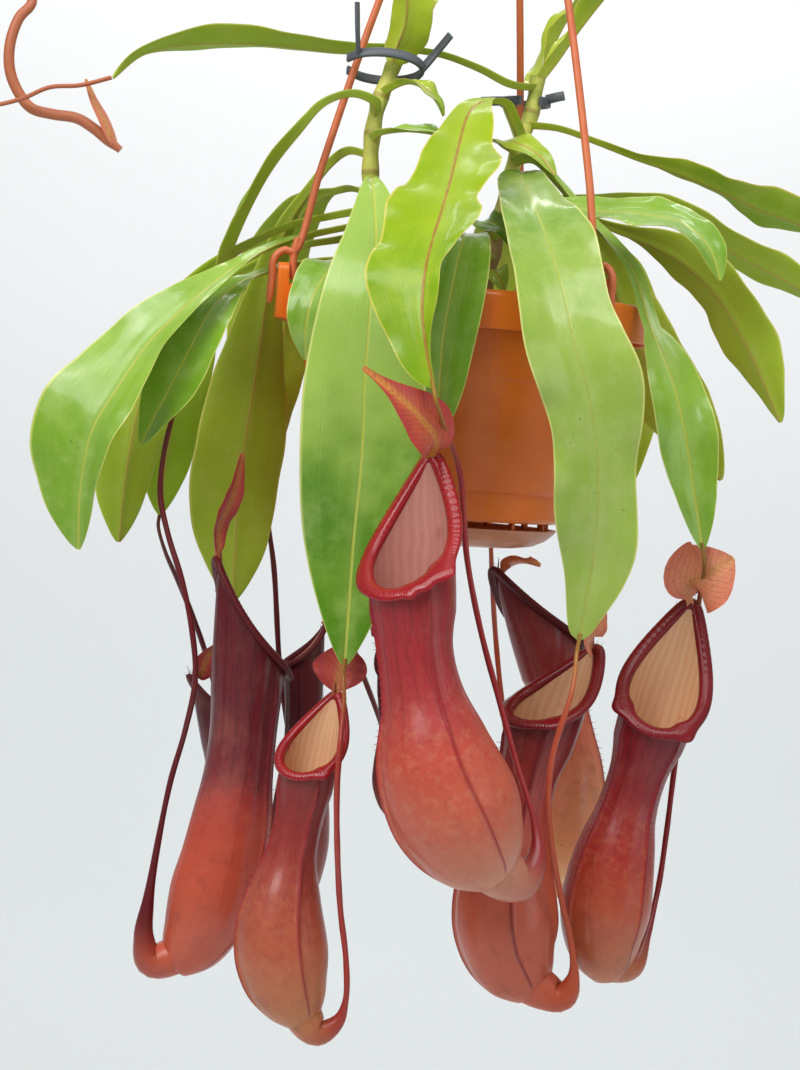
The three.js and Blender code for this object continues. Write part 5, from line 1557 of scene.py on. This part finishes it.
def long_hairs(skin, line, shape, slot, seed):
    """A few long fine hairs curl off the rim behind the lid."""
    source = random.Random(seed + "hair")
    for _ in range(LONG_HAIRS):
        root = place_on_cup(line, 1, shape["mouth"], shape, source.uniform(-0.1, 0.1), climb=1)
        out = unit(root - line.at(0.9)[0])
        reach = source.uniform(3, 7)
        bend = np.array([source.uniform(-1, 1), source.uniform(-1, 1), source.uniform(-0.4, 1)])
        tip = root + out * reach + bend * 1.5
        skin.tube(Line([root, (root + tip) / 2 + bend * 0.8, tip]), taper(0.16, 0.8), 5, 5, slot)


def bead(skin, place, radius, slot):
    """A drop that clings to the skin: round, and drawn out a little upwards and downwards."""
    u, v = np.linspace(0, np.pi, 13)[:, None], np.linspace(0, 2 * np.pi, 20, endpoint=False)[None, :]
    ball = np.stack([np.sin(u) * np.cos(v), np.sin(u) * np.sin(v), np.cos(u) * (1.25 + 0 * v)], axis=-1)
    skin.sheet(np.array(place) + radius * ball, slot, around=True, turned=True)


# %% A whole pitcher
LID_SHAPE = {**LEAF_SHAPE, "stalk": 3.4, "bare": 0.12, "fullest": 0.4, "keel": 0.12, "wave": 0.8,
             "waves": 1.5, "tip": 2.4, "crimp": 0.3}


def tendril_skin(skin, tendril, tail):
    """The tendril is thinnest at the leaf, and swells to the radius tail where it meets the cup."""
    def thick(u):
        swollen = soft_step(float(tendril.place(u)), 0.7, 1) ** 1.5
        fine = TENDRIL_RADIUS * (0.62 + 0.38 * soft_step(u, 0, 0.25))
        return (fine + (tail - TENDRIL_RADIUS) * swollen) * (1 + 0.04 * math.sin(u * 60))

    steps = int(tendril.length / 1.6)
    places = np.array([0, *np.linspace(0, 1, steps + 1), 1])[:, None]
    skin.tube(tendril, thick, steps, 16, 0, along=0.0, angle=0.25, down=places,
              thread=1 - soft_step(places, 0.86, 0.985))


def pitcher(name, leaf_name, looks, tendril_route, body_route, shape, lid_route, lid, drop=None):
    """looks name the finishes of the cup, lip, inside and lid. The routes are points in mm."""
    line, leaf_line = Line(body_route), leaf_lines[leaf_name]
    tip, heading = leaf_line.at(1)[0], leaf_line.heading_at(1)[0]
    tendril = Line([tip - heading * 3, tip + heading * GAP, tip + heading * 5, *tendril_route,
                    line.at(0.07)[0]])
    skin = Skin()
    cup_skin(skin, line, shape)
    lip_skin(skin, line, shape, 1)
    lining_skin(skin, line, shape, 2)
    tendril_skin(skin, tendril, shape["bulb"] * TAIL)
    apex = place_on_cup(line, 1, shape["mouth"] - PITCHER_WALL / 2, shape, 0.0, climb=1)
    blade_skin(skin, Line([apex, *lid_route]), {**LID_SHAPE, **lid, "near": lid["far"]}, 17,
               np.linspace(0.01, 1, 30), 3, 3)
    reach = np.array(BRISTLE, float)
    skin.tube(Line([apex, apex + reach * 0.5 + (0, 0, 0.8), apex + reach]), taper(0.55, 0.8), 8, 7, 4)
    fringe(skin, line, shape, 0, name)
    long_hairs(skin, line, shape, 4, name)
    finishes = [PITCHER_FINISHES[f"{part}_{look}"] for part, look in zip(PARTS, looks)] + [HAIR]
    if drop:
        t, around, radius = drop
        place = place_on_cup(line, t, float(cup_radius(t, shape)) + radius * 0.4, shape, around)
        bead(skin, place, radius, len(finishes))
        finishes.append(WATER)
    stands_for(skin.piece(f"{name}_whole", finishes, 60), "pitcher", name)


# %% Pitchers in front and at the right
def hung():
    return sum(thing.name.endswith("_whole") for thing in bpy.data.objects)


pitcher("pitcher_front", "leaf_a", ["front", "crimson", "pink", "salmon"],
    [(-9, -122, -382), (0, -98, -402), (6, -96, -439), (14, -98, -469), (24, -100, -498),
     (34, -104, -526), (42, -110, -547), (44, -115, -561), (38, -121, -571)],
    [(28, -126, -571), (14, -129, -551), (1, -131, -527), (-7, -131, -501), (-13, -131, -477),
     (-16, -130, -452)],
    dict(bulb=27, waist=15, mouth=19, back=(0.5, 0.87, 0), rise=54,
         flare=[(0.67, 0.9, 0.03), (0.61, 0.35, 0.018), (0.565, 0.4, 0.016), (0.36, 0.25, 0.05)]),
    [(-11, -121, -390), (-18, -130, -381), (-30, -138, -371), (-43, -143, -362)],
    dict(wide=24, far=(0.3, -0.9, 0.4), fullest=0.24, strap=1.8))
pitcher("pitcher_right", "leaf_right_folded", ["right", "deep", "tan", "orange"],
    [(113, -38, -453), (113, -26, -490), (110, -20, -528), (108, -24, -560), (105, -34, -585),
     (100, -46, -604), (94, -52, -617)],
    [(84, -54, -624), (80, -55, -603), (81, -55, -579), (85, -55, -553), (90, -55, -530), (95, -55, -509)],
    dict(bulb=20, waist=12.5, mouth=18, back=(0.1, 0.99, 0), rise=55,
         flare=[(0.36, 0.6, 0.028), (0.61, 0.7, 0.03)]),
    [(107, -44, -446), (115, -56, -439), (124, -60, -432)],
    dict(wide=30, far=(0.1, -1, 0.2), fullest=0.5))
pitcher("pitcher_leaf_b", "leaf_b", ["brown", "deep", "tan", "orange"],
    [(55, -96, -492), (49, -98, -518), (48, -98, -535), (51, -94, -557), (58, -88, -584), (64, -84, -604),
     (66, -80, -619), (62, -76, -628)],
    [(50, -72, -630), (39, -70, -611), (35, -68, -586), (37, -66, -559), (41, -64, -534), (46, -62, -513)],
    dict(bulb=22.5, waist=12.5, mouth=17, back=(0.72, 0.7, 0), rise=40,
         flare=[(0.64, 0.5, 0.03), (0.34, 0.35, 0.03)]),
    [(64, -58, -473), (67, -60, -465), (69, -62, -457)],
    dict(wide=10, far=(0.8, -0.6, 0.2)))
pitcher("pitcher_middle", "leaf_back_right", ["tan", "dark", "tan", "orange"],
    [(23, 108, -442), (25, 82, -466), (28, 52, -492), (33, 30, -522), (41, 24, -557), (47, 16, -582),
     (53, 4, -597), (58, -2, -594)],
    [(57, -2, -592), (61, -2, -564), (61, -2, -530), (56, -2, -507), (49, -2, -486)],
    dict(bulb=19, waist=11.5, mouth=16, back=(-0.84, -0.5, 0), rise=44),
    [(29, -10, -443), (35, -14, -442), (42, -15, -443)],
    dict(wide=9, far=(0.1, -0.3, 1)), drop=(0.58, 0.96, 1.3))
print("pitchers", hung())

# %% Pitchers at the left
pitcher("pitcher_left", "leaf_left_arch", ["left", "dark", "pink", "red"],
    [(-128, -42, -385), (-131, -46, -405), (-131, -48, -423), (-126, -52, -440), (-118, -56, -460),
     (-112, -58, -481), (-109, -58, -503), (-112, -56, -526), (-117, -54, -549), (-121, -50, -577),
     (-124, -46, -605), (-125, -44, -622), (-121, -42, -633)],
    [(-111, -41, -636), (-101, -40, -619), (-94, -40, -596), (-90, -40, -572), (-88, -40, -546),
     (-87, -40, -520), (-87, -40, -498)],
    dict(bulb=20, waist=15, mouth=17, back=(-0.95, -0.3, 0), rise=46,
         flare=[(0.5, 0.5, 0.04), (0.78, 0.5, 0.02), (0.86, 0.4, 0.015)]),
    [(-104, -44, -437), (-99, -44, -422), (-96, -42, -402)],
    dict(wide=8, far=(0.8, -0.6, 0)), drop=(0.64, 0.3, 1.1))
pitcher("pitcher_left_behind", "leaf_left_inner", ["dark", "dark", "pink", "red"],
    [(-133, 12, -450), (-127, 22, -464), (-119, 32, -482), (-110, 40, -506), (-100, 42, -540),
     (-92, 40, -574), (-87, 34, -606), (-84, 28, -626)],
    [(-86, 22, -636), (-88, 20, -606), (-93, 18, -575), (-98, 16, -545), (-101, 16, -531)],
    dict(bulb=14, waist=9.5, mouth=11, back=(-0.95, -0.3, 0), rise=24),
    [(-111, 9, -506), (-109, 8, -499), (-105, 7, -493)],
    dict(wide=8, far=(0.5, -0.8, 0)))
pitcher("pitcher_small", "leaf_c", ["small", "crimson", "tan", "red"],
    [(-42, -98, -503), (-42, -110, -519), (-42, -110, -540), (-40, -108, -566), (-37, -102, -592),
     (-33, -98, -615), (-32, -94, -633), (-35, -92, -643), (-43, -92, -648)],
    [(-49, -92, -645), (-58, -92, -625), (-62, -92, -603), (-60, -92, -576), (-57, -92, -555),
     (-55, -92, -536)],
    dict(bulb=19.5, waist=9.5, mouth=13, back=(0.42, 0.9, 0), rise=33, flare=[(0.63, 0.7, 0.028)]),
    [(-46, -81, -499), (-45, -80, -490), (-45, -80, -481)],
    dict(wide=21, far=(0, -1, 0.2), fullest=0.5))
print("pitchers", hung())

# %% Pitchers behind
pitcher("pitcher_dark", "leaf_left_behind", ["dark", "dark", "pink", "red"],
    [(-86, 12, -430), (-81, 10, -455), (-74, 10, -507), (-64, 12, -550), (-56, 14, -585), (-54, 14, -606),
     (-56, 10, -616)],
    [(-60, 6, -614), (-60, 0, -588), (-60, -6, -558), (-61, -10, -530), (-63, -12, -497)],
    dict(bulb=14, waist=8.5, mouth=9.5, back=(0.95, 0.1, 0), rise=18),
    [(-51, -12, -472), (-49, -13, -464), (-47, -14, -457)],
    dict(wide=12, far=(0, -1, 0)))
pitcher("pitcher_behind_front", "leaf_back_middle", ["dark", "dark", "pink", "red"],
    [(-50, 98, -453), (-47, 78, -472), (-42, 54, -492), (-29, 22, -518), (-15, -14, -544),
     (-5, -46, -560), (-7, -58, -565)],
    [(-15, -62, -558), (-17, -62, -542), (-18, -62, -526), (-20, -62, -510), (-21, -62, -498)],
    dict(bulb=10.5, waist=7, mouth=8, back=(-0.6, 0.8, 0), rise=16),
    [(-27, -57, -478), (-29, -60, -472), (-31, -64, -468)],
    dict(wide=8, far=(-0.4, -0.9, 0.3)))
print("pitchers", hung())

# %% A young pitcher on its loop
BUD_ROUTE = [
    (-184, -10, -240), (-198, -10, -242), (-211, -8, -248), (-228, -5, -252), (-245, 0, -249),
    (-259, 5, -235), (-261, 10, -213), (-250, 12, -195), (-232, 12, -188), (-215, 9, -193),
    (-211, 5, -202), (-216, 2, -210), (-219, 0, -223), (-218, 0, -235), (-213, 0, -245), (-207, 0, -251),
    (-197, 0, -253), (-186, 0, -254), (-178, 0, -258), (-171, 0, -263), (-165, 0, -267)]
BUD_SHAPE = {**LEAF_SHAPE, "wide": 7, "stalk": 3, "bare": 0, "fullest": 0.35, "keel": -0.2, "wave": 0,
             "tip": 1.2, "near": (1, -0.6, 0.6), "far": (1, -0.6, 0.6)}

start = leaf_lines["leaf_left_top"]
loop = Line([start.at(1)[0] + start.heading_at(1)[0] * GAP, *BUD_ROUTE])


def loop_radius(u):
    place = float(loop.place(u))
    return TENDRIL_RADIUS * 0.8 + 1.5 * soft_step(place, 0.25, 0.6) - 0.8 * soft_step(place, 0.95, 1)


skin = Skin()
skin.tube(loop, loop_radius, 260, 16, 1)
blade_skin(skin, Line([(-167, 0, -265), (-173, -2, -253), (-178, -3, -245), (-182, -4, -236)]), BUD_SHAPE,
           15, np.linspace(0.01, 1, 24), 0, 0)
stands_for(skin.piece("pitcher_bud_whole", [PITCHER_FINISHES["lid_orange"], BUD_TENDRIL], 60),
           "pitcher", "pitcher_bud")
print("loop of the young pitcher", round(loop.length), "mm")

# %% [markdown]
# ## Sizes
#
# Both boxes are written out in mm, the measured model's and the dressed plant's. The dressed
# plant has to stay close to the measured model's box.

# %% Write both boxes and finish
def plain(box):
    return [[float(value) for value in corner] for corner in box]


look_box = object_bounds()
{"cad": plain(cad_box), "look": plain(look_box)}
print("cad ", in_mm(cad_box))
print("look", in_mm(look_box))
